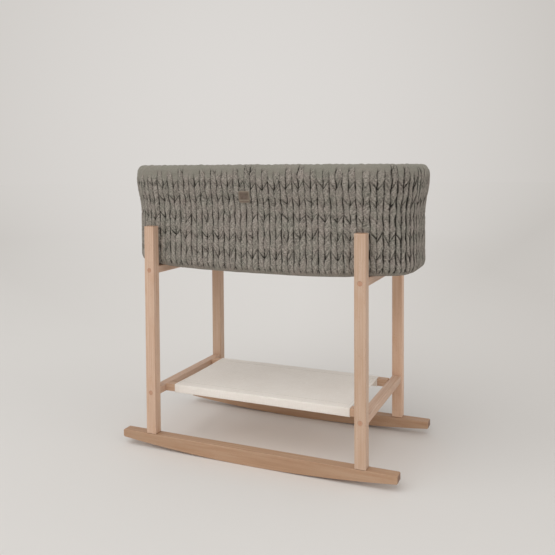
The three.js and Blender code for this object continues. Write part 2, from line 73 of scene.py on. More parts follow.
COLUMNS = 124                       # pleats round the basket
COLUMN_SAMPLES = (0, 0.045, 0.1, 0.18, 0.28, 0.39, 0.5, 0.61, 0.72, 0.82, 0.9, 0.955)
REPEAT = 47 * MM                    # height of one leaf of the pattern
CREASE_DROP = 27 * MM               # how far a slanting crease falls across its pleat
TUCK_GENTLE = 7 * MM                # the cloth rises slowly on one side of a crease
TUCK_STEEP = 1.3 * MM               # and drops sharply on the other
GROOVE_DEPTH = 6.9 * MM
GROOVE_SHADE = 1.5 * MM             # half width of the painted shade down in a groove
PROUD = 1.6 * MM                    # the pleats stand this far past the CAD surface
PATTERN_TOP = 824 * MM
PATTERN_BOTTOM = 553 * MM
SAG = 9.6 * MM                      # of the underside between the rails
END_SAG = 4.6 * MM                  # of the cloth past the rails, at the right-hand end
END_FULLNESS = 0.8 * MM             # the lower edge is fuller there
LOWER_EDGE_X = 24 * MM              # rounding of the cloth's lower edge, inwards and upwards
LOWER_EDGE_Z = 31 * MM
RIM_EDGE_X = 22 * MM                # rounding of the rim's outer edge
RIM_EDGE_Z = 23 * MM
RIM_INNER_Z = 13 * MM
COVER_INSIDE = 8.2 * MM             # the cover's inner layer, behind the deepest grooves
FOAM_OUTSIDE = 8.8 * MM
FOAM_INSIDE = 16 * MM
FOAM_BOTTOM = 561.1 * MM


def smooth_step(low, high, value):
    t = np.clip((value - low) / (high - low), 0, 1)
    return t * t * (3 - 2 * t)


class Waves:
    """Smooth seeded noise of any number of coordinates, about -1 to 1, as a sum of waves."""

    def __init__(self, seed, dimensions, count=9):
        random = np.random.default_rng(seed)
        self.direction = random.normal(size=(count, dimensions))
        self.phase = random.uniform(0, 2 * math.pi, count)
        self.weight = random.uniform(0.5, 1, count)
        self.weight /= np.sqrt((self.weight ** 2).sum() / 2)

    def __call__(self, *coordinates):
        total = 0
        for direction, phase, weight in zip(self.direction, self.phase, self.weight):
            angle = phase + sum(2 * math.pi * d * c for d, c in zip(direction, coordinates))
            total = total + weight * np.sin(angle)
        return total * 0.7


# ---- Geometry helpers ---------------------------------------------------------------------

STRAIGHT_X = PLAN_HALF_LENGTH - PLAN_CORNER
STRAIGHT_Y = PLAN_HALF_WIDTH - PLAN_CORNER
QUARTER = PLAN_CORNER * math.pi / 2
PLAN_RUNS = np.cumsum([0, STRAIGHT_X, QUARTER, 2 * STRAIGHT_Y, QUARTER, 2 * STRAIGHT_X,
                       QUARTER, 2 * STRAIGHT_Y, QUARTER, STRAIGHT_X])
PERIMETER = PLAN_RUNS[-1]
PITCH = PERIMETER / COLUMNS
PLAN_CENTRE_X = np.array([0, 1, 1, 1, 1, -1, -1, -1, -1, 0]) * STRAIGHT_X
PLAN_CENTRE_Y = np.array([-1, -1, -1, 1, 1, 1, 1, -1, -1, -1]) * STRAIGHT_Y
PLAN_ANGLE = np.radians([-90, -90, 0, 0, 90, 90, 180, 180, 270, 270])


def on_plan(u, offset):
    """x and y at arc length u round the basket's plan, from the middle of the front, grown by offset."""
    u = np.mod(u, PERIMETER)
    angle = np.interp(u, PLAN_RUNS, PLAN_ANGLE)
    radius = PLAN_CORNER + offset
    return (np.interp(u, PLAN_RUNS, PLAN_CENTRE_X) + radius * np.cos(angle),
            np.interp(u, PLAN_RUNS, PLAN_CENTRE_Y) + radius * np.sin(angle))


def round_plan(offset, count=420):
    """x and y of evenly spaced points all round the plan, grown by offset."""
    return on_plan(np.linspace(0, PERIMETER, count, endpoint=False), offset)


def placed(x, y, z):
    """Points from arrays of x, y and z."""
    return np.stack(np.broadcast_arrays(x, y, z), -1)


def lengths(line):
    """How far along a line of points each one lies."""
    return np.append(0, np.cumsum(np.linalg.norm(np.diff(line, axis=0), axis=1)))


def unit(vectors):
    return vectors / np.linalg.norm(vectors, axis=-1, keepdims=True)


def ellipse(centre, radii, start, end, count):
    angle = np.radians(np.linspace(start, end, count))
    return np.stack([centre[0] + radii[0] * np.cos(angle), centre[1] + radii[1] * np.sin(angle)], 1)


def lattice(rows, columns, wrap_rows=False, wrap_columns=False):
    """Quads of a grid of points, as indices and as each corner's (row, column) before wrapping."""
    r, c = np.meshgrid(np.arange(rows - (not wrap_rows)), np.arange(columns - (not wrap_columns)),
                       indexing="ij")
    r, c = r.ravel(), c.ravel()
    corners = np.stack([np.stack(p, 1) for p in
                        ((r, c), (r, c + 1), (r + 1, c + 1), (r + 1, c))], 1)
    return (corners[..., 0] % rows) * columns + corners[..., 1] % columns, corners


def make_mesh(name, points, faces, uv=None):
    """A smooth-shaded object from points and faces, with one UV per face corner."""
    mesh = bpy.data.meshes.new(name)
    faces = faces.tolist() if isinstance(faces, np.ndarray) else faces
    mesh.from_pydata(np.reshape(points, (-1, 3)).tolist(), [], faces)
    mesh.shade_smooth()
    if uv is not None:
        mesh.uv_layers.new(name="cloth").data.foreach_set("uv", np.ravel(uv))
    mesh.validate()
    piece = bpy.data.objects.new(name, mesh)
    scene.collection.objects.link(piece)
    return piece


def grid_mesh(name, points, uv, wrap_rows=False, wrap_columns=False):
    """A mesh from a rows x columns x 3 grid, with a UV function of (row, column) in metres."""
    faces, corners = lattice(*points.shape[:2], wrap_rows, wrap_columns)
    return make_mesh(name, points, faces, np.stack(uv(corners[..., 0], corners[..., 1]), -1))


def outward(piece):
    """Turns the faces of a closed mesh outwards."""
    work = bmesh.new()
    work.from_mesh(piece.data)
    bmesh.ops.recalc_face_normals(work, faces=work.faces)
    work.to_mesh(piece.data)
    work.free()
    return piece


def thicken(piece, thickness):
    solid = piece.modifiers.new("thickness", "SOLIDIFY")
    solid.thickness = thickness
    solid.offset = 0
    solid.use_even_offset = True
    return piece


def mark(piece, name, values):
    """Gives each point of the piece a number that its material reads."""
    layer = piece.data.attributes.new(name, "FLOAT", "POINT")
    layer.data.foreach_set("value", values.astype(np.float32))


def rounded_path(corners, radius, step):
    """A dense open polyline through 2-D corner points, with each corner rounded."""
    corners = np.array(corners)
    path = [corners[0]]
    for before, here, after in zip(corners, corners[1:], corners[2:]):
        back, on = unit(before - here), unit(after - here)
        for t in np.linspace(0, 1, 5):
            path.append(here + radius * (back * (1 - t) ** 2 + on * t ** 2))
    path.append(corners[-1])
    dense = [path[0]]
    for start, end in zip(path, path[1:]):
        count = max(1, int(np.linalg.norm(end - start) / step))
        dense.extend(start + (end - start) * k / count for k in range(1, count + 1))
    return np.array(dense)


def tube(name, centre, radius, sides=8):
    """A round tube along a closed line of points."""
    along = unit(np.roll(centre, -1, 0) - np.roll(centre, 1, 0))
    side = unit(np.cross(along, (0, 0, 1.0)))
    up = np.cross(side, along)
    angle = np.linspace(0, 2 * math.pi, sides, endpoint=False)[:, None]
    ring = side[:, None] * np.cos(angle) + up[:, None] * np.sin(angle)
    run = lengths(np.append(centre, centre[:1], 0))
    return outward(grid_mesh(name, centre[:, None] + ring * radius,
                             lambda r, c: (c * 2 * math.pi * radius / sides, run[r]), True, True))


def capped_tube(rings, sides):
    """Faces of a tube of rings of points, with one more face over each end."""
    walls, _ = lattice(rings, sides, False, True)
    first = list(range(sides))
    return walls.tolist() + [first[::-1], [(rings - 1) * sides + corner for corner in first]]


def stitches(name, runs, length, gap, radius, sides=6):
    """Rows of thread stitches, as one mesh: short beads with tapered ends. A run is a line of
    points and the outward direction at each of them."""
    profile = ((0, 0.35), (0.14, 0.85), (0.5, 1), (0.86, 0.85), (1, 0.35))
    angle = np.linspace(0, 2 * math.pi, sides, endpoint=False)[:, None]
    bead = capped_tube(len(profile), sides)
    points, faces = [], []
    for line, outwards in runs:
        run = lengths(line)
        at = lambda s, values: np.array([np.interp(s, run, column) for column in values.T])
        for start in np.arange(gap, run[-1] - length, length + gap):
            faces.extend([len(points) + corner for corner in face] for face in bead)
            along = unit(at(start + length, line) - at(start, line))
            out = at(start, outwards)
            out = unit(out - along * out.dot(along))
            spokes = np.cross(along, out) * np.cos(angle) * 1.25 + out * np.sin(angle)
            for t, width in profile:
                centre = at(start + t * length, line) + out * radius * (0.9 * width - 0.6)
                points.extend(centre + spokes * radius * width)
    return outward(make_mesh(name, points, faces))


# ---- Material helpers ---------------------------------------------------------------------

class Nodes:
    """A node tree, and short calls that build it."""

    def __init__(self, tree):
        self.tree = tree
        tree.nodes.clear()
        coordinates = self.node("TexCoord").outputs
        self.here, self.cloth, self.outwards = (
            coordinates[kind] for kind in ("Object", "UV", "Generated"))

    def node(self, kind, inputs=None, **settings):
        made = self.tree.nodes.new("ShaderNode" + kind)
        for key, value in settings.items():
            setattr(made, key, value)
        for key, value in (inputs or {}).items():
            self.put(made.inputs[key], value)
        return made

    def put(self, socket, value):
        if isinstance(value, bpy.types.NodeSocket):
            self.tree.links.new(value, socket)
        else:
            opaque = socket.type == "RGBA" and len(value) == 3
            socket.default_value = (*value, 1) if opaque else value

    def math(self, operation, *values):
        return self.node("Math", dict(enumerate(values)), operation=operation).outputs[0]

    def weighted(self, *terms):
        """The sum of each (value, weight)."""
        total, *rest = (self.math("MULTIPLY", value, weight) for value, weight in terms)
        for part in rest:
            total = self.math("ADD", total, part)
        return total

    def vector(self, operation, a, b):
        second = "Scale" if operation == "SCALE" else 1
        made = self.node("VectorMath", {0: a, second: b}, operation=operation)
        return made.outputs["Value" if operation in ("LENGTH", "DOT_PRODUCT") else "Vector"]

    def length(self, a):
        return self.node("VectorMath", {0: a}, operation="LENGTH").outputs["Value"]

    def mix(self, share, a, b, blend="MIX"):
        return self.node("Mix", {0: share, 6: a, 7: b}, data_type="RGBA", blend_type=blend).outputs[2]

    def spread(self, value, low, high, to_low=0.0, to_high=1.0):
        """value's range from low to high, as to_low to to_high."""
        made = self.node("MapRange", {"Value": value, "From Min": low, "From Max": high,
                                      "To Min": to_low, "To Max": to_high})
        return made.outputs["Result"]

    def tint(self, colour, other, most, value, low=0.0, high=1.0):
        """colour, turned to other by up to most as value runs from low to high."""
        return self.mix(self.spread(value, low, high, 0, most), colour, other)

    def ramp(self, value, *stops):
        made = self.node("ValToRGB", {"Fac": value})
        while len(made.color_ramp.elements) < len(stops):
            made.color_ramp.elements.new(0.5)
        for element, (place, colour) in zip(made.color_ramp.elements, stops):
            element.position, element.color = place, (*colour, 1)
        return made.outputs["Color"]

    def noise(self, vector, scale, detail=2.0, roughness=0.5, distortion=0.0, output="Fac"):
        made = self.node("TexNoise", {"Vector": vector, "Scale": scale, "Detail": detail,
                                      "Roughness": roughness, "Distortion": distortion})
        return made.outputs[output]

    def wobble(self, vector, scale, amount):
        """A smooth random offset."""
        noise = self.noise(vector, scale, output="Color")
        return self.vector("SCALE", self.vector("SUBTRACT", noise, (0.5, 0.5, 0.5)), amount)

    def cells(self, vector, scale, **settings):
        made = self.node("TexVoronoi", {"Vector": vector, "Scale": scale}, **settings)
        return made.outputs["Distance"]

    def mapped(self, source, scale=(1, 1, 1), location=(0, 0, 0)):
        made = self.node("Mapping", {"Vector": source, "Scale": scale, "Location": location})
        return made.outputs["Vector"]

    def marked(self, name):
        return self.node("Attribute", attribute_name=name).outputs["Fac"]

    def bump(self, height, distance, strength=1.0, under=None):
        made = self.node("Bump", {"Height": height, "Distance": distance, "Strength": strength})
        if under is not None:
            self.put(made.inputs["Normal"], under)
        return made.outputs["Normal"]


class Look(Nodes):
    """A material with one principled shader."""

    def __init__(self, name):
        self.material = bpy.data.materials.new(name)
        self.material.use_nodes = True
        super().__init__(self.material.node_tree)
        self.shader = self.node("BsdfPrincipled")
        self.output = self.node("OutputMaterial", {"Surface": self.shader.outputs["BSDF"]})

    def set(self, **values):
        for key, value in values.items():
            self.put(self.shader.inputs[key.replace("_", " ")], value)
        return self.material


def rgb(red, green, blue):
    """A colour given as it looks on screen, 0 to 255, as scene-linear."""
    return tuple(((c / 255 + 0.055) / 1.055) ** 2.4 for c in (red, green, blue))


def toned(colour, tone):
    return tuple(c * t for c, t in zip(colour, tone))


def along_axis(axis, value, other):
    """A vector with one value on the axis and another on the two others."""
    return tuple(value if k == axis else other for k in range(3))


# ---- Materials ----------------------------------------------------------------------------

def beech(name, grain, seed, tone=(1, 1, 1), end_tone=None):
    """Pale steamed beech with its grain along axis 0, 1 or 2: growth rings, pores and ray flecks."""
    random = np.random.default_rng(seed)
    look = Look(name)
    shift = tuple(random.uniform(-3, 3, 3))
    here = look.mapped(look.here, location=shift)

    def stretched(along):
        return look.mapped(here, scale=along_axis(grain, along, 1.0))

    # Growth rings round a pith line that lies well outside the board.
    pith = [0.0, 0.0, 0.0]
    across = [axis for axis in range(3) if axis != grain]
    for axis, nearest, farthest in ((across[0], 0.05, 0.12), (across[1], 0.02, 0.07)):
        pith[axis] = -shift[axis] + random.choice([-1, 1]) * random.uniform(nearest, farthest)
    flat = look.mapped(look.mapped(here, location=pith), scale=along_axis(grain, 0.0, 1.0))
    distance = look.length(look.vector("ADD", flat, look.wobble(stretched(0.16), 9.0, 0.012)))
    per_metre = 2 * math.pi / random.uniform(0.0035, 0.006)
    ring = look.spread(look.math("SINE", look.math("MULTIPLY", distance, per_metre)), -1, 1)

    streaks = look.noise(stretched(0.035), 190, 4, 0.6)
    flecks = look.spread(look.cells(stretched(0.2), 620), 0.34, 0.12)
    patch = look.spread(look.noise(stretched(0.4), 60), 0.42, 0.6)
    flecks = look.math("MULTIPLY", flecks, patch)

    face, warm, deep, brown = (toned(rgb(*colour), tone) for colour in (
        (216, 187, 166), (207, 173, 149), (186, 149, 122), (196, 150, 118)))
    colour = look.ramp(look.weighted((streaks, 0.75), (ring, 0.13)), (0.28, face), (0.5, warm), (0.8, deep))
    colour = look.tint(colour, deep, 0.4, look.noise(stretched(0.12), 22), 0.35, 0.7)
    colour = look.tint(colour, brown, 0.3, look.noise(stretched(0.3), 34, 3, 0.6, 0.6), 0.52, 0.72)
    colour = look.tint(colour, rgb(150, 104, 76), 0.38, flecks)

    # The ends show darker end grain with small pores.
    normal = look.node("NewGeometry").outputs["Normal"]
    facing = look.math("ABSOLUTE", look.vector("DOT_PRODUCT", normal, along_axis(grain, 1.0, 0.0)))
    pores = look.noise(here, 1500, 3, 0.7)
    end_colour = look.ramp(look.weighted((pores, 0.6), (ring, 0.35)),
                           (0.3, rgb(196, 158, 130)), (0.7, rgb(150, 108, 80)))
    if end_tone:
        end_colour = look.mix(1.0, end_colour, end_tone, "MULTIPLY")
    colour = look.mix(look.spread(facing, 0.8, 0.95), colour, end_colour)

    edge = look.node("Bevel", {"Radius": 0.0016}, samples=4).outputs["Normal"]
    height = look.weighted((streaks, 0.7), (flecks, -0.5))
    return look.set(Base_Color=colour, Roughness=look.spread(streaks, 0.3, 0.7, 0.42, 0.56),
                    Normal=look.bump(height, 0.00012, 0.55, edge), Specular_IOR_Level=0.42,
                    Coat_Weight=0.08, Coat_Roughness=0.35)


def plug_wood(name, seed):
    """Darker cross-grain plug, with rings and pores across its round face."""
    random = np.random.default_rng(seed)
    look = Look(name)
    here = look.mapped(look.here, location=tuple(random.uniform(-3, 3, 3)))
    rings = look.noise(look.mapped(here, scale=(1, 1, 0.12)), 420, 3, 0.6)
    pores = look.noise(here, 1700, 3, 0.7)
    colour = look.ramp(look.weighted((rings, 0.6), (pores, 0.4)),
                       (0.3, rgb(206, 165, 139)), (0.7, rgb(180, 132, 106)))
    return look.set(Base_Color=colour, Roughness=look.spread(pores, 0.3, 0.7, 0.5, 0.68),
                    Normal=look.bump(pores, 0.0002, 0.5))


def woven(look, thread):
    """Over-under pattern of a plain weave, 0 to 1, with threads of uneven thickness."""
    pushed = look.wobble(look.cloth, 0.06 / thread, thread * 1.6)
    split = look.node("SeparateXYZ", {"Vector": look.vector("ADD", look.cloth, pushed)}).outputs
    over, under = (look.math("SINE", look.math("MULTIPLY", split[axis], math.pi / thread))
                   for axis in ("X", "Y"))
    return look.spread(look.math("MULTIPLY", over, under), -1, 1)


def slubs(look, stretch, scale, detail, roughness):
    """Thicker stretches of yarn, in both directions of the weave."""
    both = (look.noise(look.mapped(look.cloth, scale=way), scale, detail, roughness)
            for way in ((1, stretch, 1), (stretch, 1, 1)))
    return look.weighted(*((yarn, 0.5) for yarn in both))


def smocked_fabric():
    """Soft melange weave of taupe and greenish grey yarn, with painted shade down in the folds and painted
    highlights on the ripples' crests.
    """
    look = Look("smocked_fabric")
    weave = woven(look, 0.0011)
    broad = look.noise(look.cloth, 11, 3, 0.6)
    patches = look.noise(look.mapped(look.cloth, location=(3.1, 1.7, 0)), 34, 3, 0.65)
    yarn = slubs(look, 9, 95, 3, 0.6)
    speck = look.noise(look.cloth, 420, 3, 0.8)
    fold, rim = look.marked("fold"), look.marked("rim")
    colour = look.ramp(look.weighted((broad, 0.5), (patches, 0.5)),
                       (0.4, rgb(122, 123, 112)), (0.6, rgb(147, 135, 128)))
    colour = look.tint(colour, rgb(163, 155, 146), 0.7, yarn, 0.36, 0.64)
    colour = look.tint(colour, rgb(84, 81, 74), 0.4, weave)
    colour = look.tint(colour, rgb(206, 198, 187), 0.45, speck, 0.5, 0.68)
    colour = look.tint(colour, rgb(70, 66, 60), 0.45, speck, 0.5, 0.34)
    # Painted highlight: paler where the fold numbers fall below 0, on the crests of the fine ripples.
    colour = look.tint(colour, rgb(196, 188, 178), 0.42, fold, 0.04, -0.16)
    colour = look.tint(colour, rgb(134, 133, 121), 0.5, rim)
    # Painted shade: near black down in the grooves and creases and along the ripples' hollows.
    colour = look.tint(colour, rgb(26, 23, 19), 0.96, fold, 0.06, 0.6)
    normal = look.bump(look.noise(look.cloth, 150, 3, 0.6), 0.0014, 0.6)
    return look.set(Base_Color=colour, Roughness=look.spread(yarn, 0.3, 0.7, 0.86, 0.96),
                    Normal=look.bump(weave, 0.0004, 0.7, normal), Specular_IOR_Level=0.15,
                    Sheen_Weight=0.2, Sheen_Roughness=0.5, Sheen_Tint=rgb(214, 210, 200))


def plain_cloth(name, light, dark, thread, crumple):
    """A plain-weave cloth of one colour, with slubs in the yarn and faint crumpling."""
    look = Look(name)
    yarn = slubs(look, 14, 40, 3, 0.5)
    weave = woven(look, thread)
    shade = look.weighted((yarn, 0.7), (look.noise(look.cloth, 7, 3), 0.3))
    colour = look.ramp(shade, (0.35, dark), (0.62, light))
    colour = look.tint(colour, toned(dark, (0.62,) * 3), 0.22, weave)
    normal = look.bump(look.noise(look.cloth, 45, 3, 0.55), crumple, 0.5)
    return look.set(Base_Color=colour, Roughness=look.spread(yarn, 0.3, 0.7, 0.84, 0.94),
                    Normal=look.bump(weave, thread * 0.3, 0.55, normal), Specular_IOR_Level=0.2,
                    Sheen_Weight=0.12, Sheen_Roughness=0.5)


def sewing_thread(name, colour):
    """Twisted sewing thread."""
    look = Look(name)
    twist = look.noise(look.here, 1600)
    shade = look.mix(look.spread(twist, 0.3, 0.7), colour, toned(colour, (0.6,) * 3))
    return look.set(Base_Color=shade, Roughness=look.spread(twist, 0.3, 0.7, 0.6, 0.8),
                    Normal=look.bump(twist, 0.0002, 0.6))


def leather():
    """Blank brown patch with a fine grain and paler, worn edges."""
    look = Look("label_leather")
    grain = look.cells(look.here, 900, feature="DISTANCE_TO_EDGE")
    soft = look.noise(look.here, 120, 4)
    colour = look.ramp(soft, (0.3, rgb(114, 98, 86)), (0.7, rgb(90, 75, 64)))
    colour = look.mix(look.math("MULTIPLY", look.marked("worn"), 0.7), colour, rgb(164, 152, 134))
    return look.set(Base_Color=colour, Roughness=look.spread(soft, 0.3, 0.7, 0.5, 0.68),
                    Normal=look.bump(look.spread(grain, 0, 0.2), 0.0002, 0.5))


def steel():
    """Zinc-plated steel with a fine brushed grain and a few dull patches."""
    look = Look("steel")
    brushed = look.noise(look.mapped(look.here, scale=(1, 0.06, 1)), 900, 3)
    dull = look.noise(look.here, 160, 3)
    colour = look.ramp(dull, (0.35, rgb(196, 199, 203)), (0.7, rgb(160, 163, 168)))
    roughness = look.math("ADD", look.spread(brushed, 0.3, 0.7, 0.2, 0.34),
                          look.spread(dull, 0.4, 0.7, 0, 0.12))
    return look.set(Base_Color=colour, Metallic=1.0, Roughness=roughness,
                    Normal=look.bump(brushed, 0.00006, 0.5))


def foam():
    """Open-cell upholstery foam."""
    look = Look("foam")
    cells = look.cells(look.here, 700)
    soft = look.noise(look.here, 18, 3)
    colour = look.ramp(soft, (0.3, rgb(236, 230, 212)), (0.7, rgb(222, 212, 188)))
    colour = look.mix(look.spread(cells, 0, 0.7, 0.45, 0), colour, rgb(170, 158, 132))
    return look.set(Base_Color=colour, Roughness=look.spread(soft, 0.3, 0.7, 0.9, 1.0),
                    Normal=look.bump(cells, 0.0006, 0.7))


def fibreboard():
    """Pressed fibreboard with coarse and fine fibres."""
    look = Look("fibreboard")
    fibres = look.noise(look.mapped(look.here, scale=(1, 1, 3)), 700, 4, 0.7)
    clumps = look.noise(look.here, 60, 4, 0.6)
    colour = look.ramp(look.weighted((fibres, 0.5), (clumps, 0.5)),
                       (0.35, rgb(190, 158, 120)), (0.65, rgb(150, 116, 80)))
    return look.set(Base_Color=colour, Roughness=look.spread(clumps, 0.3, 0.7, 0.75, 0.88),
                    Normal=look.bump(fibres, 0.0002, 0.6))


def dress(piece, material, slot, body, *replaced):
    """Gives a new piece its material and its body, and hides the CAD nodes that it stands for. slot is not
    used.
    """
    piece.data.materials.clear()
    piece.data.materials.append(material)
    if replaced:
        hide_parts(*replaced)
    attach(piece, body)
    return piece


# ---- Wood, fasteners and inner layers: the CAD nodes keep their shapes --------------------

X_AXIS, Y_AXIS, Z_AXIS = range(3)
# No two boards have quite the same shade, and the back right post, in the basket's shadow, is painted
# lighter as well.
POST_TONES_AND_PAINTED_LIGHT = {
    "post_front_left": (1.05, 1.06, 1.06), "post_front_right": (0.99, 1.03, 1.04),
    "post_back_left": (0.93, 0.94, 0.92), "post_back_right": (1.15, 1.14, 1.11)}
ROCKER_TONE, ROCKER_END_TONE = (0.74, 0.68, 0.59), (0.5, 0.42, 0.36)
SHELF_RAIL_TONE = (0.95, 0.92, 0.86)
steel_look, foam_look, board_look = steel(), foam(), fibreboard()
hidden_dowel = beech("beech_dowel", Z_AXIS, 90)
for index, (name, node) in enumerate(sorted(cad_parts.items())):
    if name.startswith("rocker"):
        material = beech("beech_" + name, X_AXIS, 11 + index, ROCKER_TONE, ROCKER_END_TONE)
    elif name.startswith("shelf_rail"):
        material = beech("beech_" + name, X_AXIS, 21 + index, SHELF_RAIL_TONE)
    elif name.startswith(("lower_rail", "upper_rail")):
        material = beech("beech_" + name, Y_AXIS, 31 + index)
    elif name.startswith("post"):
        material = beech("beech_" + name, Z_AXIS, 51 + index, POST_TONES_AND_PAINTED_LIGHT[name])
    elif name.startswith("plug"):
        material = plug_wood("wood_" + name, 71 + index)
    elif name.startswith(("foot_dowel", "shelf_dowel")):
        material = hidden_dowel
    elif name.startswith(("bolt", "barrel", "foot_screw")):
        material = steel_look
    elif name in ("wall_panel", "base_board"):
        material = board_look
    else:
        continue
    for slot in node.material_slots:
        slot.material = material

# ---- Smocked cover ------------------------------------------------------------------------

fabric_look = smocked_fabric()


def flare_at(height):
    return FLARE * smooth_step(FLARE_START, FLARE_END, height)


def resampled(line, step):
    run = lengths(line)
    even = np.linspace(0, run[-1], round(run[-1] / step) + 1)
    return np.stack([np.interp(even, run, column) for column in line.T], 1)


def cover_section():
    """Outer and inner lines of the cover's section, as (offset, height), from the bottom seam up
    over the rim and down to the edge of the fold."""
    # The cloth is drawn tighter than the CAD solid: it leans in a little and its edges are rounder.
    cad_wall = np.linspace(BASKET_BOTTOM + BOTTOM_ROUND_Z, RIM_SHOULDER, 100)
    lean = (-2.2 * MM * smooth_step(RIM_SHOULDER, 700 * MM, cad_wall)
            - 2.3 * MM * smooth_step(740 * MM, RIM_SHOULDER, cad_wall))
    foot = (lean[0] - LOWER_EDGE_X, BASKET_BOTTOM + LOWER_EDGE_Z)
    rim_edge = flare_at(RIM_SHOULDER) + lean[-1]
    crest = (rim_edge - RIM_EDGE_X, BASKET_TOP - RIM_EDGE_Z)
    wall = np.linspace(foot[1], crest[1], len(cad_wall))
    outer = np.concatenate([
        ellipse(foot, (LOWER_EDGE_X, LOWER_EDGE_Z), -90, 0, 40)[:-1],
        np.stack([flare_at(wall) + np.interp(wall, cad_wall, lean), wall], 1)[:-1],
        ellipse(crest, (RIM_EDGE_X, RIM_EDGE_Z), 0, 90, 30)[:-1],
        ellipse((crest[0], BASKET_TOP - RIM_INNER_Z), (INNER_FACE + crest[0], RIM_INNER_Z), 90, 180, 16),
        [(-INNER_FACE, FOLD_BOTTOM)],
    ])
    arch = ((FLARE - COVER_INSIDE - FOLD_FACE) / 2, RIM_SHOULDER)
    arch_radii = ((FLARE - COVER_INSIDE + FOLD_FACE) / 2, BASKET_TOP - COVER_INSIDE - RIM_SHOULDER)
    wall = np.linspace(BASKET_BOTTOM + BOTTOM_ROUND_Z, RIM_SHOULDER, 12)
    inner = np.concatenate([
        ellipse((-BOTTOM_ROUND_X, BASKET_BOTTOM + BOTTOM_ROUND_Z),
                (BOTTOM_ROUND_X - COVER_INSIDE, BOTTOM_ROUND_Z - COVER_INSIDE), -90, 0, 6)[:-1],
        np.stack([flare_at(wall) - COVER_INSIDE, wall], 1)[:-1],
        ellipse(arch, arch_radii, 0, 180, 12),
        [(-FOLD_FACE, FOLD_BOTTOM)],
    ])
    return resampled(outer, 2.3 * MM), inner


def at_right_end(x):
    """1 at the right-hand end of the basket, and a little at the left-hand one."""
    return smooth_step(0.36, 0.43, x) + 0.25 * smooth_step(-0.36, -0.43, x)


def sagged(x, z):
    """How far the cover hangs below its CAD shape near the bottom: between the rails and past them."""
    between = np.clip(1 - (x / (RAIL_INNER_X - 8 * MM)) ** 2, 0, 1)
    between = between * (1 + 0.35 * smooth_step(0.02, 0.2, x))
    return (SAG * between ** 0.6 + END_SAG * at_right_end(x)) * smooth_step(612 * MM, 556 * MM, z)


groove_swap, groove_random, groove_wander, leaf_random, row_wander = (
    Waves(seed, 2) for seed in range(3, 8))
top_wander = Waves(8, 1)
pucker, lump, dash_random = (Waves(seed, 2) for seed in (9, 10, 11))


def groove_strength(k, height):
    """How strongly a groove is pulled in, 0 to 1. Every second one is strong, and which of the two
    it is changes from place to place."""
    swap = groove_swap(k * PITCH / 0.42, height / 0.16) + 1.1 * (height - 0.716) / 0.06
    parity = np.where(np.mod(k, 2) == 0, 1.0, -1.0)
    strength = 0.82 + 0.16 * parity * np.tanh(1.6 * swap)
    dash = np.floor(height / REPEAT + 0.5 * np.mod(k, 2) + 0.3)
    strength = strength * (0.93 + 0.12 * dash_random(k * 4.1, dash * 2.7))
    return np.clip(strength + 0.1 * groove_random(k * 3.7, height / 0.05), 0.5, 1)


def groove_shift(k, height):
    """Sideways wander of a groove, in columns."""
    parity = np.where(np.mod(k, 2) == 0, 0.0, 0.5)
    zigzag = 0.07 * (np.abs(np.mod(height / REPEAT + parity + 0.15, 1) - 0.5) * 4 - 1)
    return zigzag + 0.05 * groove_wander(k * 2.9, height / 0.08)


def between_grooves(of_groove, k, share_right, height):
    """A quantity of groove k, passing into that of the groove to its right."""
    right = of_groove(np.mod(k + 1, COLUMNS), height)
    return of_groove(k, height) * (1 - share_right) + right * share_right


def smocking(k, s, height, bend):
    """At share s of the way from groove k to groove k + 1: how far the cloth is drawn in, 0 to 1,
    and how much painted shade it gets, below 0 painted highlight. Where the plan bends, up to 1, the
    painted shade in the grooves widens."""
    is_even = np.mod(k, 2) == 0
    level = height + 5 * MM * row_wander(k * PITCH / 0.2, height / 0.2)
    # Grooves are deep along each leaf and shallower where the creases run in.
    beat = 0.68 + 0.32 * np.cos(2 * math.pi * (level / REPEAT + 0.32))
    groove = between_grooves(groove_strength, k, smooth_step(0, 1, s), height) * beat
    puff = np.power(np.clip(4 * s * (1 - s), 0, 1), 0.6)
    valley = (1 - puff) * groove

    # Slanting creases: falling to the right in odd columns, rising in even ones, half a leaf apart.
    drop = CREASE_DROP * (0.9 + 0.25 * leaf_random(k * 1.3, height / 0.2))
    phase = np.where(is_even, level - drop * s + REPEAT * 0.5, level + drop * s) / REPEAT
    leaf = np.floor(phase + 0.5)
    above = (phase - leaf) * REPEAT * np.where(is_even, 1, -1)
    tuck = np.where(above > 0, np.exp(-above / TUCK_GENTLE), np.exp(above / TUCK_STEEP))
    depth = 0.5 + 0.3 * leaf_random(k * 5.1, leaf * 3.3)
    depth = np.clip(depth * (0.5 + 0.5 * np.where(is_even, 1 - s, s)), 0.08, 0.8)
    # Fine wrinkles follow the creases, here stronger and there weaker.
    patchy = np.clip(0.55 + 0.6 * leaf_random(k * 2.3 + 9, leaf * 1.9 + s), 0, 1)
    ripples = np.sin(2 * math.pi * (4.3 * phase + 0.4 * pucker(k * 0.7 + s, height / 0.03)))
    fine = 0.18 * patchy * ripples + 0.075 * lump(k * 1.7 + s * 2, height / 0.011)
    rounded = 0.14 * (2 * s - 1) ** 2
    drawn = valley + (depth * tuck * (1 - 0.7 * valley) + rounded + fine) * puff ** 0.5

    # The fold numbers are painted shade: a dark line down each groove, wider and darker where the plan
    # bends, and along each crease. The ripples add painted shade and painted highlight.
    gap = np.minimum(s, 1 - s) * PITCH
    shade_width = GROOVE_SHADE + 1.4 * MM * bend
    groove_painted_shade = np.exp(-(gap / shade_width) ** 2) * (0.12 + 0.92 * groove) * (1 + 0.2 * bend)
    crease_painted_shade = np.exp(-(above / (2.2 * MM)) ** 2) * depth * 1.15
    folded = np.maximum(groove_painted_shade, crease_painted_shade) + 1.3 * fine
    return np.clip(drawn, 0, 1), np.clip(folded, -0.25, 1)


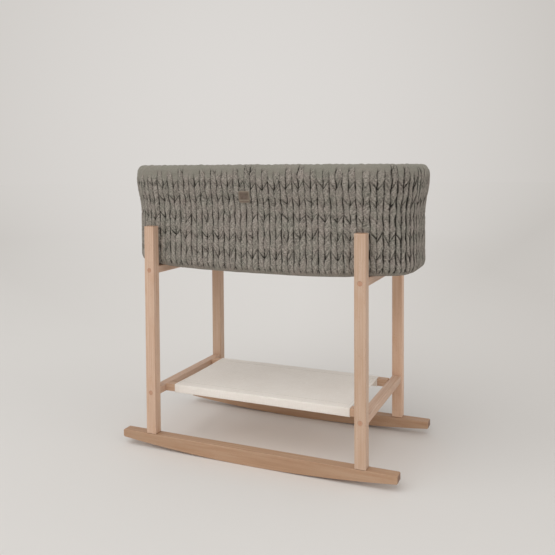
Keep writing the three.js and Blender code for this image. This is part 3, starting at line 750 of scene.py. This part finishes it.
def pattern_top(column, x):
    """Height at which each pleat runs out into the smooth rim: uneven, and lower at the left."""
    longer = groove_random(column * 7.7, 0 * column) > 0.9
    return (PATTERN_TOP + 9 * MM * top_wander(column * 0.37) + 12 * MM * longer
            - 15 * MM * smooth_step(-0.12, -0.3, x))


def smocked_cover():
    outer, inner = cover_section()
    column = np.repeat(np.arange(COLUMNS), len(COLUMN_SAMPLES)).astype(float)
    share = np.tile(COLUMN_SAMPLES, COLUMNS)
    place = column + share
    x = on_plan(place * PITCH, 0)[0]
    height = outer[:, 1:]
    # Heights go on rising past the crest of the rim, so that the pattern ends on the outside.
    past_crest = np.arange(len(outer)) > np.argmax(outer[:, 1])
    rise = np.where(past_crest[:, None], 2 * BASKET_TOP - height, height)

    top = pattern_top(column, on_plan(column * PITCH, 0)[0])
    fade = (smooth_step(top + 7 * MM, top - 12 * MM, rise)
            * smooth_step(PATTERN_BOTTOM - 5 * MM, PATTERN_BOTTOM + 8 * MM, height))
    drawn, folded = smocking(column, share, rise, smooth_step(0.35, 0.43, np.abs(x)))
    shift = between_grooves(groove_shift, column, share, rise) * smooth_step(0, 0.3, fade)
    u = (place + shift) * PITCH

    # The rim's own soft puckers, gathers into the bottom seam, and the fuller right-hand end.
    waves = 0.45 * MM * np.sin(2 * math.pi * place) * smooth_step(0.83, 0.8434, rise)
    ripple = 0.7 * MM * pucker(u / 0.05, rise / 0.03) + waves + 0.3 * MM
    gathers = 0.9 * MM * np.abs(np.sin(math.pi * place * 1.5 + 2 * pucker(u / 0.11, 0 * u)))
    at_bottom = smooth_step(PATTERN_BOTTOM + 6 * MM, PATTERN_BOTTOM - 4 * MM, height)
    full = smooth_step(BASKET_BOTTOM, 556 * MM, height) * smooth_step(600 * MM, 570 * MM, height)
    inward = (fade * (GROOVE_DEPTH * drawn - PROUD) + (1 - fade) * ripple + at_bottom * gathers
              - END_FULLNESS * full * at_right_end(x))

    tangent = unit(np.gradient(outer, axis=0))
    out_x, out_y = on_plan(u, outer[:, :1] - tangent[:, 1:] * inward)
    out_z = height + tangent[:, :1] * inward
    in_x, in_y = on_plan(place * PITCH, inner[::-1, :1])
    in_z = inner[::-1, 1:]
    points = np.concatenate([placed(out_x, out_y, out_z - sagged(out_x, out_z)),
                             placed(in_x, in_y, in_z - sagged(in_x, in_z))])

    run = lengths(outer)
    back_run = run[-1] + lengths(inner[::-1]) + 3 * MM
    runs = np.concatenate([run, back_run, back_run[-1:] + 3 * MM])
    places = np.append(place, COLUMNS) * PITCH
    cover = outward(grid_mesh("smocked_cover", points, lambda r, c: (places[c], runs[r]), True, True))
    smooth_rim = (1 - fade) * smooth_step(0.78, 0.81, rise)
    # The fold numbers colour the cloth with painted shade in the grooves and creases and painted highlight
    # on ripple crests.
    mark(cover, "fold", np.append(folded * fade, np.zeros(in_x.size)))
    mark(cover, "rim", np.append(smooth_rim, np.ones(in_x.size)))
    return cover


cover = dress(smocked_cover(), fabric_look, "smocked_fabric", "basket", "basket_cover")


def plan_patch(offset, across=48, along=120):
    """x and y of a grid that fills the plan grown by offset, row by row from left to right."""
    radius = PLAN_CORNER + offset
    t = np.linspace(-math.pi / 2, math.pi / 2, along)
    x = (PLAN_HALF_LENGTH + offset) * (0.55 * np.sin(t) + 0.45 * t / (math.pi / 2))
    past = np.clip(np.abs(x) - STRAIGHT_X, 0, radius)
    width = STRAIGHT_Y + np.sqrt(np.maximum(radius ** 2 - past ** 2, 0))
    share = np.linspace(-1, 1, across)
    share = 0.6 * share + 0.4 * np.sin(share * math.pi / 2)
    return np.broadcast_to(x[:, None], (along, across)), width[:, None] * share


def patch_mesh(name, x, y, z):
    """A sheet over a patch of the plan, with its own x and y as UV."""
    return grid_mesh(name, placed(x, y, z), lambda r, c: (x[r, c], y[r, c]))


wrinkle = Waves(21, 2, 14)
BOTTOM_SHEET = 1.1 * MM
SEAM_OFFSET = -BOTTOM_ROUND_X + 3.5 * MM


def underside():
    """The flat piece of cloth under the basket, sewn on just inside the rounded edge."""
    x, y = plan_patch(SEAM_OFFSET + 1.5 * MM)
    z = BASKET_BOTTOM + 0.7 * MM - sagged(x, 0.5) + 0.35 * MM * wrinkle(x / 0.09, y / 0.06)
    # It doesn't sag where it lies on a rail.
    on_rail = smooth_step(26 * MM, 14 * MM, np.abs(np.abs(x) - RAIL_MIDDLE_X))
    lowest = BASKET_BOTTOM + 0.6 * MM * on_rail - 9 * MM * (1 - on_rail)
    z = np.where(on_rail > 0, np.maximum(z, lowest), z)
    return thicken(patch_mesh("cover_underside", x, y, z), BOTTOM_SHEET)


under = dress(underside(), fabric_look, "smocked_fabric", "basket", "basket_cover")
seam_x, seam_y = round_plan(SEAM_OFFSET)
seam_z = BASKET_BOTTOM + 1.3 * MM - sagged(seam_x, 0.5)
bottom_piping = dress(tube("bottom_piping", placed(seam_x, seam_y, seam_z), 1.5 * MM),
                      fabric_look, "smocked_fabric", "basket")

# ---- Foam under the cover -----------------------------------------------------------------


def plan_ring(name, section, count=440):
    """A closed ring round the basket's plan with a section of (offset, height) points."""
    x, y = round_plan(section[:, :1], count)
    return outward(grid_mesh(name, placed(x, y, section[:, 1:]),
                             lambda r, c: (c * PERIMETER / count, r * 8 * MM), True, True))


def outer_foam_line(heights):
    return np.stack([flare_at(heights) - FOAM_OUTSIDE, heights], 1)


panel_top = FOLD_BOTTOM - 0.4 * MM
roll_bottom = FOLD_BOTTOM + 0.2 * MM
roll_inside, roll_outside = -FOLD_FACE + 0.5 * MM, FLARE - FOAM_OUTSIDE
wall_foam = plan_ring("wall_foam", np.concatenate([
    [(-FOAM_INSIDE, FOAM_BOTTOM), (-FOAM_OUTSIDE - 3 * MM, FOAM_BOTTOM)],
    outer_foam_line(np.linspace(FOAM_BOTTOM + 10 * MM, panel_top, 24)),
    [(-FOAM_INSIDE, panel_top)]]))
rim_foam = plan_ring("rim_foam", np.concatenate([
    outer_foam_line(np.linspace(roll_bottom, RIM_SHOULDER, 8))[:-1],
    ellipse(((roll_inside + roll_outside) / 2, RIM_SHOULDER),
            ((roll_outside - roll_inside) / 2, BASKET_TOP - FOAM_OUTSIDE - RIM_SHOULDER), 0, 180, 16),
    [(roll_inside, roll_bottom)]]))
for piece, node in ((wall_foam, "wall_padding"), (rim_foam, "rim_padding")):
    dress(piece, foam_look, "foam", "basket", node)

# ---- Cotton lining ------------------------------------------------------------------------

cotton_look = plain_cloth("cotton", rgb(232, 227, 217), rgb(216, 209, 197), 0.0008, 0.0008)
LINING_OFFSET = -20.5 * MM
LINING_BOTTOM = 561.4 * MM
LINING_TOP = 799.5 * MM
LINING_SHEET = 1.1 * MM
LINING_COLUMNS = 520
ease = Waves(31, 2, 16)
vertical_pull = Waves(32, 1, 12)


def lining_wall():
    """Cloth up the inside of the wall, with slight ease where it is sewn under the fold."""
    z = np.linspace(LINING_BOTTOM, LINING_TOP, 60)[:, None]
    around = np.linspace(0, 2 * math.pi, LINING_COLUMNS, endpoint=False)
    loose = ease(9 * np.cos(around), 9 * np.sin(around) + z / 0.11)
    pull = np.abs(vertical_pull(14 * np.sin(around) + 5 * np.cos(around))) * smooth_step(0.7, LINING_TOP, z)
    inward = (0.35 * MM * (1 + np.clip(loose, -1, 1))
              + 0.7 * MM * pull * smooth_step(LINING_TOP, LINING_TOP - 8 * MM, z))
    x, y = round_plan(LINING_OFFSET - inward, LINING_COLUMNS)
    sheet = grid_mesh("lining_wall", placed(x, y, z),
                      lambda r, c: (c * PERIMETER / LINING_COLUMNS, z[r, 0]), False, True)
    return thicken(sheet, LINING_SHEET)


def lining_floor():
    """Cloth laid over the base board."""
    x, y = plan_patch(LINING_OFFSET - 1.2 * MM)
    z = LINING_BOTTOM - 0.35 * MM + 0.15 * MM * (1 + np.clip(ease(x / 0.12, y / 0.09), -1, 1))
    return thicken(patch_mesh("lining_floor", x, y, z), LINING_SHEET * 0.7)


lining, lining_base = lining_wall(), lining_floor()
fold_line = placed(*round_plan(-INNER_FACE - 0.2 * MM), FOLD_BOTTOM - 0.2 * MM)
fold_piping = tube("fold_piping", fold_line, 1.4 * MM)
for piece in (lining, lining_base, fold_piping):
    dress(piece, cotton_look, "cotton", "basket", "basket_lining")

stitch_line = placed(*round_plan(-INNER_FACE - 0.1 * MM), FOLD_BOTTOM + 4 * MM)
towards_middle = unit(placed(*round_plan(-INNER_FACE - 1), FOLD_BOTTOM + 4 * MM) - stitch_line)
fold_stitches = dress(
    stitches("fold_stitches", [(stitch_line, towards_middle)], 3.4 * MM, 1.6 * MM, 0.4 * MM),
    sewing_thread("grey_thread", rgb(150, 143, 133)), "smocked_fabric", "basket")

# ---- Mattress -----------------------------------------------------------------------------

MATTRESS_EDGE = -28 * MM
MATTRESS_LOW = 562.9 * MM
MATTRESS_HIGH = 601 * MM
MATTRESS_CEILING = 606.5 * MM       # its crown stays under this
MATTRESS_SIDE_ROUND = 11 * MM
MATTRESS_SWELL = 4 * MM
VOXEL = 5.5 * MM
PRESSURE = 4.0
CLOTH_FRAMES = 20
mattress_waves = Waves(41, 3, 14)


def mattress_shape():
    """Start shape of the mattress: a flat pad with rounded sides."""
    round_at = MATTRESS_EDGE - MATTRESS_SIDE_ROUND
    radii = (MATTRESS_SIDE_ROUND, MATTRESS_SIDE_ROUND)
    section = np.concatenate([
        ellipse((round_at, MATTRESS_LOW + MATTRESS_SIDE_ROUND), radii, -90, 0, 6),
        ellipse((round_at, MATTRESS_HIGH - MATTRESS_SIDE_ROUND), radii, 0, 90, 6)])
    x, y = plan_patch(round_at, 64, 150)
    faces, _ = lattice(*x.shape)
    ring = placed(*round_plan(section[:, :1]), section[:, 1:])
    sides, _ = lattice(*ring.shape[:2], False, True)
    parts = (placed(x, y, MATTRESS_HIGH), placed(x, y, MATTRESS_LOW), ring)
    return make_mesh("mattress", np.concatenate([part.reshape(-1, 3) for part in parts]),
                     np.concatenate([faces, faces + x.size, sides + 2 * x.size]))


def applied(piece):
    """The piece with its modifiers turned into plain mesh."""
    bpy.context.view_layer.update()
    final = bpy.data.meshes.new_from_object(piece.evaluated_get(bpy.context.evaluated_depsgraph_get()))
    piece.modifiers.clear()
    old, piece.data = piece.data, final
    bpy.data.meshes.remove(old)
    piece.data.shade_smooth()
    return piece


def coordinates_of(mesh):
    flat = np.empty(len(mesh.vertices) * 3, np.float32)
    mesh.vertices.foreach_get("co", flat)
    return flat.reshape(-1, 3).astype(float)


def move_points(mesh, points):
    mesh.vertices.foreach_set("co", points.astype(np.float32).ravel())
    mesh.update()


def inflate(piece, cap):
    """Blows the piece up as a cloth bag and caps how far any point may move."""
    start = coordinates_of(piece.data)
    cloth = piece.modifiers.new("bag", "CLOTH")
    cloth.settings.use_pressure = True
    cloth.settings.uniform_pressure_force = PRESSURE
    cloth.settings.effector_weights.gravity = 0
    cloth.settings.quality = 4
    cloth.point_cache.frame_start, cloth.point_cache.frame_end = 1, CLOTH_FRAMES
    for number in range(1, CLOTH_FRAMES + 1):
        scene.frame_set(number)
    shaped = piece.evaluated_get(bpy.context.evaluated_depsgraph_get())
    moved = coordinates_of(shaped.data) - start
    piece.modifiers.clear()
    scene.frame_set(1)
    distance = np.linalg.norm(moved, axis=1, keepdims=True)
    moved *= np.tanh(distance / cap) * cap / np.maximum(distance, 1e-9)
    move_points(piece.data, start + moved)


mattress = mattress_shape()
closed = mattress.modifiers.new("even", "REMESH")
closed.mode = "VOXEL"
closed.voxel_size = VOXEL
applied(mattress)
inflate(mattress, MATTRESS_SWELL)
finer = mattress.modifiers.new("finer", "SUBSURF")
finer.levels = finer.render_levels = 1
applied(mattress)
# The top is a little crowned, with soft dips, and the base is flat where it lies on the lining.
x, y, z = coordinates_of(mattress.data).T
crown = np.clip(1 - (x / 0.42) ** 2, 0, 1) * np.clip(1 - (y / 0.155) ** 2, 0, 1)
dips = mattress_waves(x / 0.12, y / 0.12, z / 0.5)
z = z + smooth_step(0.585, 0.598, z) * (1.2 * MM * crown + 0.5 * MM * dips)
z = np.clip(z, MATTRESS_LOW - 0.3 * MM, MATTRESS_CEILING)
move_points(mattress.data, placed(x, y, z))
surface = BVHTree.FromObject(mattress, bpy.context.evaluated_depsgraph_get())


def mattress_piping(name, height):
    """Piping along the mattress, where it comes nearest to a ring at this height."""
    line = []
    for place in placed(*round_plan(MATTRESS_EDGE + 8 * MM), height):
        spot, normal, _, _ = surface.find_nearest(Vector(place))
        line.append(spot + normal * 0.5 * MM)
    line = np.array(line)
    for _ in range(6):
        line = (np.roll(line, 1, 0) + 2 * line + np.roll(line, -1, 0)) / 4
    line[:, 2] = np.maximum(line[:, 2], MATTRESS_LOW + 2.2 * MM)
    return tube(name, line, 1.7 * MM)


for name, height in (("mattress_piping_top", 610 * MM), ("mattress_piping_bottom", 556 * MM)):
    dress(mattress_piping(name, height), cotton_look, "cotton", "mattress")
quilt_look = plain_cloth("mattress_cotton", rgb(238, 235, 228), rgb(222, 217, 207), 0.0009, 0.001)
dress(mattress, quilt_look, "cotton", "mattress", "mattress_cover", "mattress_core")

# ---- Shelf canvas -------------------------------------------------------------------------

CANVAS_HALF_LENGTH = 278 * MM
CANVAS_TOP = 181.5 * MM             # middle of the cloth over the rails
CANVAS_LOW = 157.7 * MM             # and under them
CANVAS_FRONT = -150 * MM
CANVAS_FRONT_SEAM = -124.2 * MM
CANVAS_BACK = 142.6 * MM
CANVAS_BACK_SEAM = 116.8 * MM
TUCKED_LAYER = 1.3 * MM             # the tunnel's end lies this far under the top layer
TUNNEL_ALLOWANCE = 12.2 * MM
CANVAS_THICKNESS = 1.1 * MM
SINGLE_SHARE = 0.62                 # of the modifier's thickness, which the folded hems have in full
HEM = 10 * MM
CANVAS_SAG = 2.2 * MM
canvas_waves = Waves(51, 2, 16)
canvas_pull = Waves(52, 1, 12)


def canvas_lift(x, y):
    """How far the open span of the canvas is above the plane of the rails' tops."""
    span = np.clip((y - CANVAS_FRONT_SEAM) / (CANVAS_BACK_SEAM - CANVAS_FRONT_SEAM), 0, 1)
    bowl = np.sin(math.pi * span) ** 0.8
    slack = CANVAS_SAG * bowl * (0.75 + 0.25 * np.cos(math.pi * x / 0.6))
    return -slack + bowl * (0.3 * MM * canvas_waves(x / 0.13, y / 0.1) + 0.22 * MM * canvas_pull(x / 0.05))


def shelf_canvas():
    """One sheet that runs round the front rail, across and round the back rail, in sewn tunnels."""
    top_in = CANVAS_TOP - TUCKED_LAYER
    path = rounded_path([
        (CANVAS_FRONT_SEAM + TUNNEL_ALLOWANCE, top_in), (CANVAS_FRONT_SEAM, top_in),
        (CANVAS_FRONT_SEAM, CANVAS_LOW), (CANVAS_FRONT, CANVAS_LOW), (CANVAS_FRONT, CANVAS_TOP),
        (CANVAS_BACK, CANVAS_TOP), (CANVAS_BACK, CANVAS_LOW), (CANVAS_BACK_SEAM, CANVAS_LOW),
        (CANVAS_BACK_SEAM, top_in), (CANVAS_BACK_SEAM - TUNNEL_ALLOWANCE, top_in)], 2.2 * MM, 4 * MM)
    run = lengths(path)
    x = CANVAS_HALF_LENGTH * np.concatenate([[-1, -0.998], np.linspace(-0.985, 0.985, 112), [0.998, 1]])
    y, z = path[:, :1], path[:, 1:]
    upper = smooth_step(CANVAS_TOP - 3 * MM, CANVAS_TOP - 1.6 * MM, z)
    z = z + upper * canvas_lift(x, y)
    # The tunnels' outer faces bulge a little between the stitches.
    face = smooth_step(CANVAS_LOW, CANVAS_LOW + 6 * MM, z) * (1 - upper) * (np.abs(y) > 0.13)
    y = y + np.sign(y) * face * 0.25 * MM * np.abs(canvas_waves(x / 0.06, z / 0.02))
    sheet = grid_mesh("shelf_canvas_sheet", placed(x, y, z), lambda r, c: (x[c], run[r]))

    at_hem = np.tile(np.abs(x) > CANVAS_HALF_LENGTH - HEM, len(path))
    thick = sheet.vertex_groups.new(name="hem")
    thick.add(np.nonzero(~at_hem)[0].tolist(), SINGLE_SHARE, "REPLACE")
    thick.add(np.nonzero(at_hem)[0].tolist(), 1.0, "REPLACE")
    thicken(sheet, CANVAS_THICKNESS / SINGLE_SHARE)
    sheet.modifiers["thickness"].vertex_group = "hem"
    return sheet


def canvas_row(start, end):
    """A line over the top of the canvas, for stitches, with its upward normals."""
    line = np.linspace(start, end, 90)
    height = CANVAS_TOP + canvas_lift(line[:, 0], line[:, 1]) + CANVAS_THICKNESS * 0.5
    return np.column_stack([line, height + 0.15 * MM]), np.tile((0, 0, 1.0), (len(line), 1))


canvas_look = plain_cloth("canvas", rgb(252, 246, 239), rgb(240, 232, 223), 0.0013, 0.0007)
canvas = dress(shelf_canvas(), canvas_look, "canvas", "stand", "shelf_canvas")
seam_end = CANVAS_HALF_LENGTH - 3 * MM
hem_row = CANVAS_HALF_LENGTH - HEM + 2 * MM
front_row, back_row = CANVAS_FRONT_SEAM + 3 * MM, CANVAS_BACK_SEAM - 3 * MM
front_end, back_end = CANVAS_FRONT + 3 * MM, CANVAS_BACK - 3 * MM
canvas_stitches = dress(
    stitches("canvas_stitches", [
        canvas_row((-seam_end, front_row), (seam_end, front_row)),
        canvas_row((-seam_end, back_row), (seam_end, back_row)),
        canvas_row((-hem_row, front_end), (-hem_row, back_end)),
        canvas_row((hem_row, front_end), (hem_row, back_end)),
    ], 3 * MM, 1.3 * MM, 0.45 * MM),
    sewing_thread("cream_thread", rgb(236, 230, 218)), "canvas", "stand")

# ---- Label --------------------------------------------------------------------------------

label_low, label_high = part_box("label_patch")
LABEL_X, _, LABEL_Z = np.add(label_low, label_high) / 2
LABEL_WIDTH, _, LABEL_HEIGHT = np.subtract(label_high, label_low)
LABEL_THICKNESS = 1.6 * MM
LABEL_GAP = 0.8 * MM
LABEL_SQUARENESS = 0.28             # power of the superellipse that the patch's outline is
LABEL_STITCH_INSET = 2.4 * MM
PRESSED_HEIGHT = -0.27              # of the line pressed into the patch, as a share of its height
PRESSED_WIDTH = 1.5 * MM
label_slope = math.atan2(flare_at(LABEL_Z + LABEL_HEIGHT / 2) - flare_at(LABEL_Z - LABEL_HEIGHT / 2),
                         LABEL_HEIGHT)
label_middle = np.array([LABEL_X, -(PLAN_HALF_WIDTH + flare_at(LABEL_Z) + LABEL_GAP), LABEL_Z])
label_up = np.array([0, -math.sin(label_slope), math.cos(label_slope)])
label_out = np.array([0, -math.cos(label_slope), -math.sin(label_slope)])


def on_label(across, up, out):
    """World points on the sloping front where the label is sewn."""
    return label_middle + placed(across, up, out) @ np.array([(1.0, 0, 0), label_up, label_out])


def label_patch():
    """A blank patch with rounded edges, a pressed line near its lower edge and a little curl."""
    around = 64
    turn = np.linspace(0, 2 * math.pi, around, endpoint=False)
    edge_x, edge_y = (np.sign(wave) * np.abs(wave) ** LABEL_SQUARENESS * size / 2 for wave, size in (
        (np.cos(turn), LABEL_WIDTH), (np.sin(turn), LABEL_HEIGHT)))
    share = np.append(np.linspace(0.02, 0.9, 10), [0.95, 0.98, 0.995, 1])[:, None]
    across, up = share * edge_x, share * edge_y
    pressed = np.exp(-((up - LABEL_HEIGHT * PRESSED_HEIGHT) / PRESSED_WIDTH) ** 2)
    pressed = pressed * (np.abs(across) < LABEL_WIDTH * 0.4)
    dome = LABEL_THICKNESS * (1 - 0.55 * share ** 10) + 0.25 * MM * (across / LABEL_WIDTH) ** 2
    points = np.concatenate([on_label(across, up, dome - 0.35 * MM * pressed),
                             on_label(across, up, 0.1 * MM)[::-1]])
    piece = outward(make_mesh("label", points, capped_tube(len(points), around)))
    mark(piece, "worn", np.append(share ** 6 + 0.9 * pressed, np.repeat(share[::-1] ** 6, around)))
    return piece


label = dress(label_patch(), leather(), "label", "basket", "label_patch")
inset_x, inset_y = LABEL_WIDTH / 2 - LABEL_STITCH_INSET, LABEL_HEIGHT / 2 - LABEL_STITCH_INSET
corners = [(-inset_x, -inset_y), (inset_x, -inset_y), (inset_x, inset_y), (-inset_x, inset_y)]
label_runs = []
for start, end in zip(corners, corners[1:] + corners[:1]):
    across, up = np.linspace(start, end, 12).T
    label_runs.append((on_label(across, up, LABEL_THICKNESS * 0.97), np.tile(label_out, (12, 1))))
label_stitches = dress(stitches("label_stitches", label_runs, 2.2 * MM, 1.0 * MM, 0.35 * MM),
                       sewing_thread("label_thread", rgb(150, 132, 112)), "label", "basket")

# ---- Camera, stage and light --------------------------------------------------------------

azimuth, pitch, roll = math.radians(21.44), math.radians(2.13), math.radians(-0.21)
forward = Vector((-math.sin(azimuth) * math.cos(pitch), math.cos(azimuth) * math.cos(pitch),
                  -math.sin(pitch)))
level_right = Vector((math.cos(azimuth), math.sin(azimuth), 0))
level_up = level_right.cross(forward)
right = math.cos(roll) * level_right + math.sin(roll) * level_up
up = -math.sin(roll) * level_right + math.cos(roll) * level_up
camera_data = bpy.data.cameras.new("camera")
camera_data.sensor_width = 36
camera_data.lens = 41.98
camera_data.shift_x = -0.0695
camera_data.shift_y = -0.1515
camera = bpy.data.objects.new("camera", camera_data)
camera.matrix_world = Matrix.Translation((0.8277, -1.7929, 0.8291)) @ Matrix(
    (right, up, -forward)).transposed().to_4x4()
scene.collection.objects.link(camera)
scene.camera = camera

ROOM_LIGHT = 0.56
FLOOR_RADII = (0.0005, 0.4, 0.8, 1.5, 3, 6, 12, 40)
FLOOR_FADE_START = 1.3
FLOOR_FADE_END = 7.0
BRIGHTEST = (-0.457, 0.886, 0.08)   # direction of the brightest part of the backdrop
# Backdrop colours, by how closely one looks towards its brightest part.
BACKDROP = ((0.45, (0.64, 0.62, 0.592)), (0.86, (0.565, 0.54, 0.51)), (1.0, (0.715, 0.69, 0.665)))


def floor_paper():
    """Pale floor with painted light, lighter in front and in the middle, a painted warm shadow under the
    cradle, and turning into the backdrop.
    """
    paper = Look("floor_paper")
    place = paper.here
    sideways = paper.spread(paper.vector("DOT_PRODUCT", place, (0.93, 0.365, 0)), -2, 2)
    nearness = paper.vector("DOT_PRODUCT", place, (0.1, -0.99, 0))
    patches = paper.noise(place, 1.5, 3)
    under_cradle_shadow = paper.length(paper.vector("MULTIPLY", place, (0.75, 1.3, 1)))
    # Painted light: the floor is lightest in the middle and in front, and darker off to the sides, most to
    # the right.
    shade = paper.ramp(sideways, (0.1, (0.745, 0.727, 0.703)), (0.5, (0.775, 0.755, 0.732)),
                       (0.9, (0.645, 0.622, 0.596)))
    shade = paper.tint(shade, (0.835, 0.818, 0.796), 0.5, nearness, -0.3, 0.7)
    shade = paper.tint(shade, (0.7, 0.68, 0.66), 0.06, patches, 0.3, 0.7)
    # Painted shadow: warmer and darker under the cradle.
    shade = paper.tint(shade, (0.8, 0.69, 0.62), 0.5, under_cradle_shadow, 0.42, 0.1)
    paper.set(Base_Color=shade, Roughness=paper.spread(patches, 0.3, 0.7, 0.9, 0.97),
              Specular_IOR_Level=0.1)
    # Far out, the floor glows in the backdrop's colours as painted light, so that no horizon shows.
    distant = paper.spread(paper.length(place), FLOOR_FADE_START, FLOOR_FADE_END)
    distant = paper.math("SMOOTH_MIN", distant, 1.0, 0.2)
    bearing = paper.node("VectorMath", {0: place}, operation="NORMALIZE").outputs["Vector"]
    glow = paper.ramp(paper.vector("DOT_PRODUCT", bearing, BRIGHTEST), *BACKDROP)
    glow = paper.node("Emission", {"Color": glow}).outputs["Emission"]
    blended = paper.node("MixShader", {0: distant, 1: paper.shader.outputs["BSDF"], 2: glow})
    paper.put(paper.output.inputs["Surface"], blended.outputs["Shader"])
    return paper.material


turn = np.linspace(0, 2 * math.pi, 128, endpoint=False)
radii = np.array(FLOOR_RADII)[:, None]
floor = grid_mesh("floor", placed(radii * np.cos(turn), radii * np.sin(turn), 0),
                  lambda r, c: (c / len(turn), r / len(radii)), False, True)
floor.data.materials.append(floor_paper())

# The room: even soft light, and a pale backdrop that only the camera sees.
world = bpy.data.worlds.new("soft_room")
world.use_nodes = True
room = Nodes(world.node_tree)
even = room.node("Background", {"Color": (1, 0.972, 0.948), "Strength": ROOM_LIGHT})
glow = room.ramp(room.vector("DOT_PRODUCT", room.outwards, BRIGHTEST), *BACKDROP)
seen = room.node("Background", {"Color": glow})
by_camera = room.node("LightPath").outputs["Is Camera Ray"]
either = room.node("MixShader", {0: by_camera, 1: even.outputs["Background"],
                                 2: seen.outputs["Background"]})
room.node("OutputWorld", {"Surface": either.outputs["Shader"]})
scene.world = world


def far_light(name, place, strength, softness, colour):
    """A large, distant soft light that shines from a place towards the middle of the cradle."""
    data = bpy.data.lights.new(name, "SUN")
    data.energy = strength
    data.angle = math.radians(softness)
    data.color = colour
    light = bpy.data.objects.new(name, data)
    light.rotation_euler = (Vector((0, 0, 0.4)) - Vector(place)).to_track_quat("-Z", "Y").to_euler()
    scene.collection.objects.link(light)


far_light("key", (-0.8, -2.35, 3.3), 1.2, 70, (0.985, 1, 1))
far_light("fill", (2.6, -0.6, 1.6), 0.4, 60, (0.985, 1, 0.99))
scene.view_settings.view_transform = "Standard"
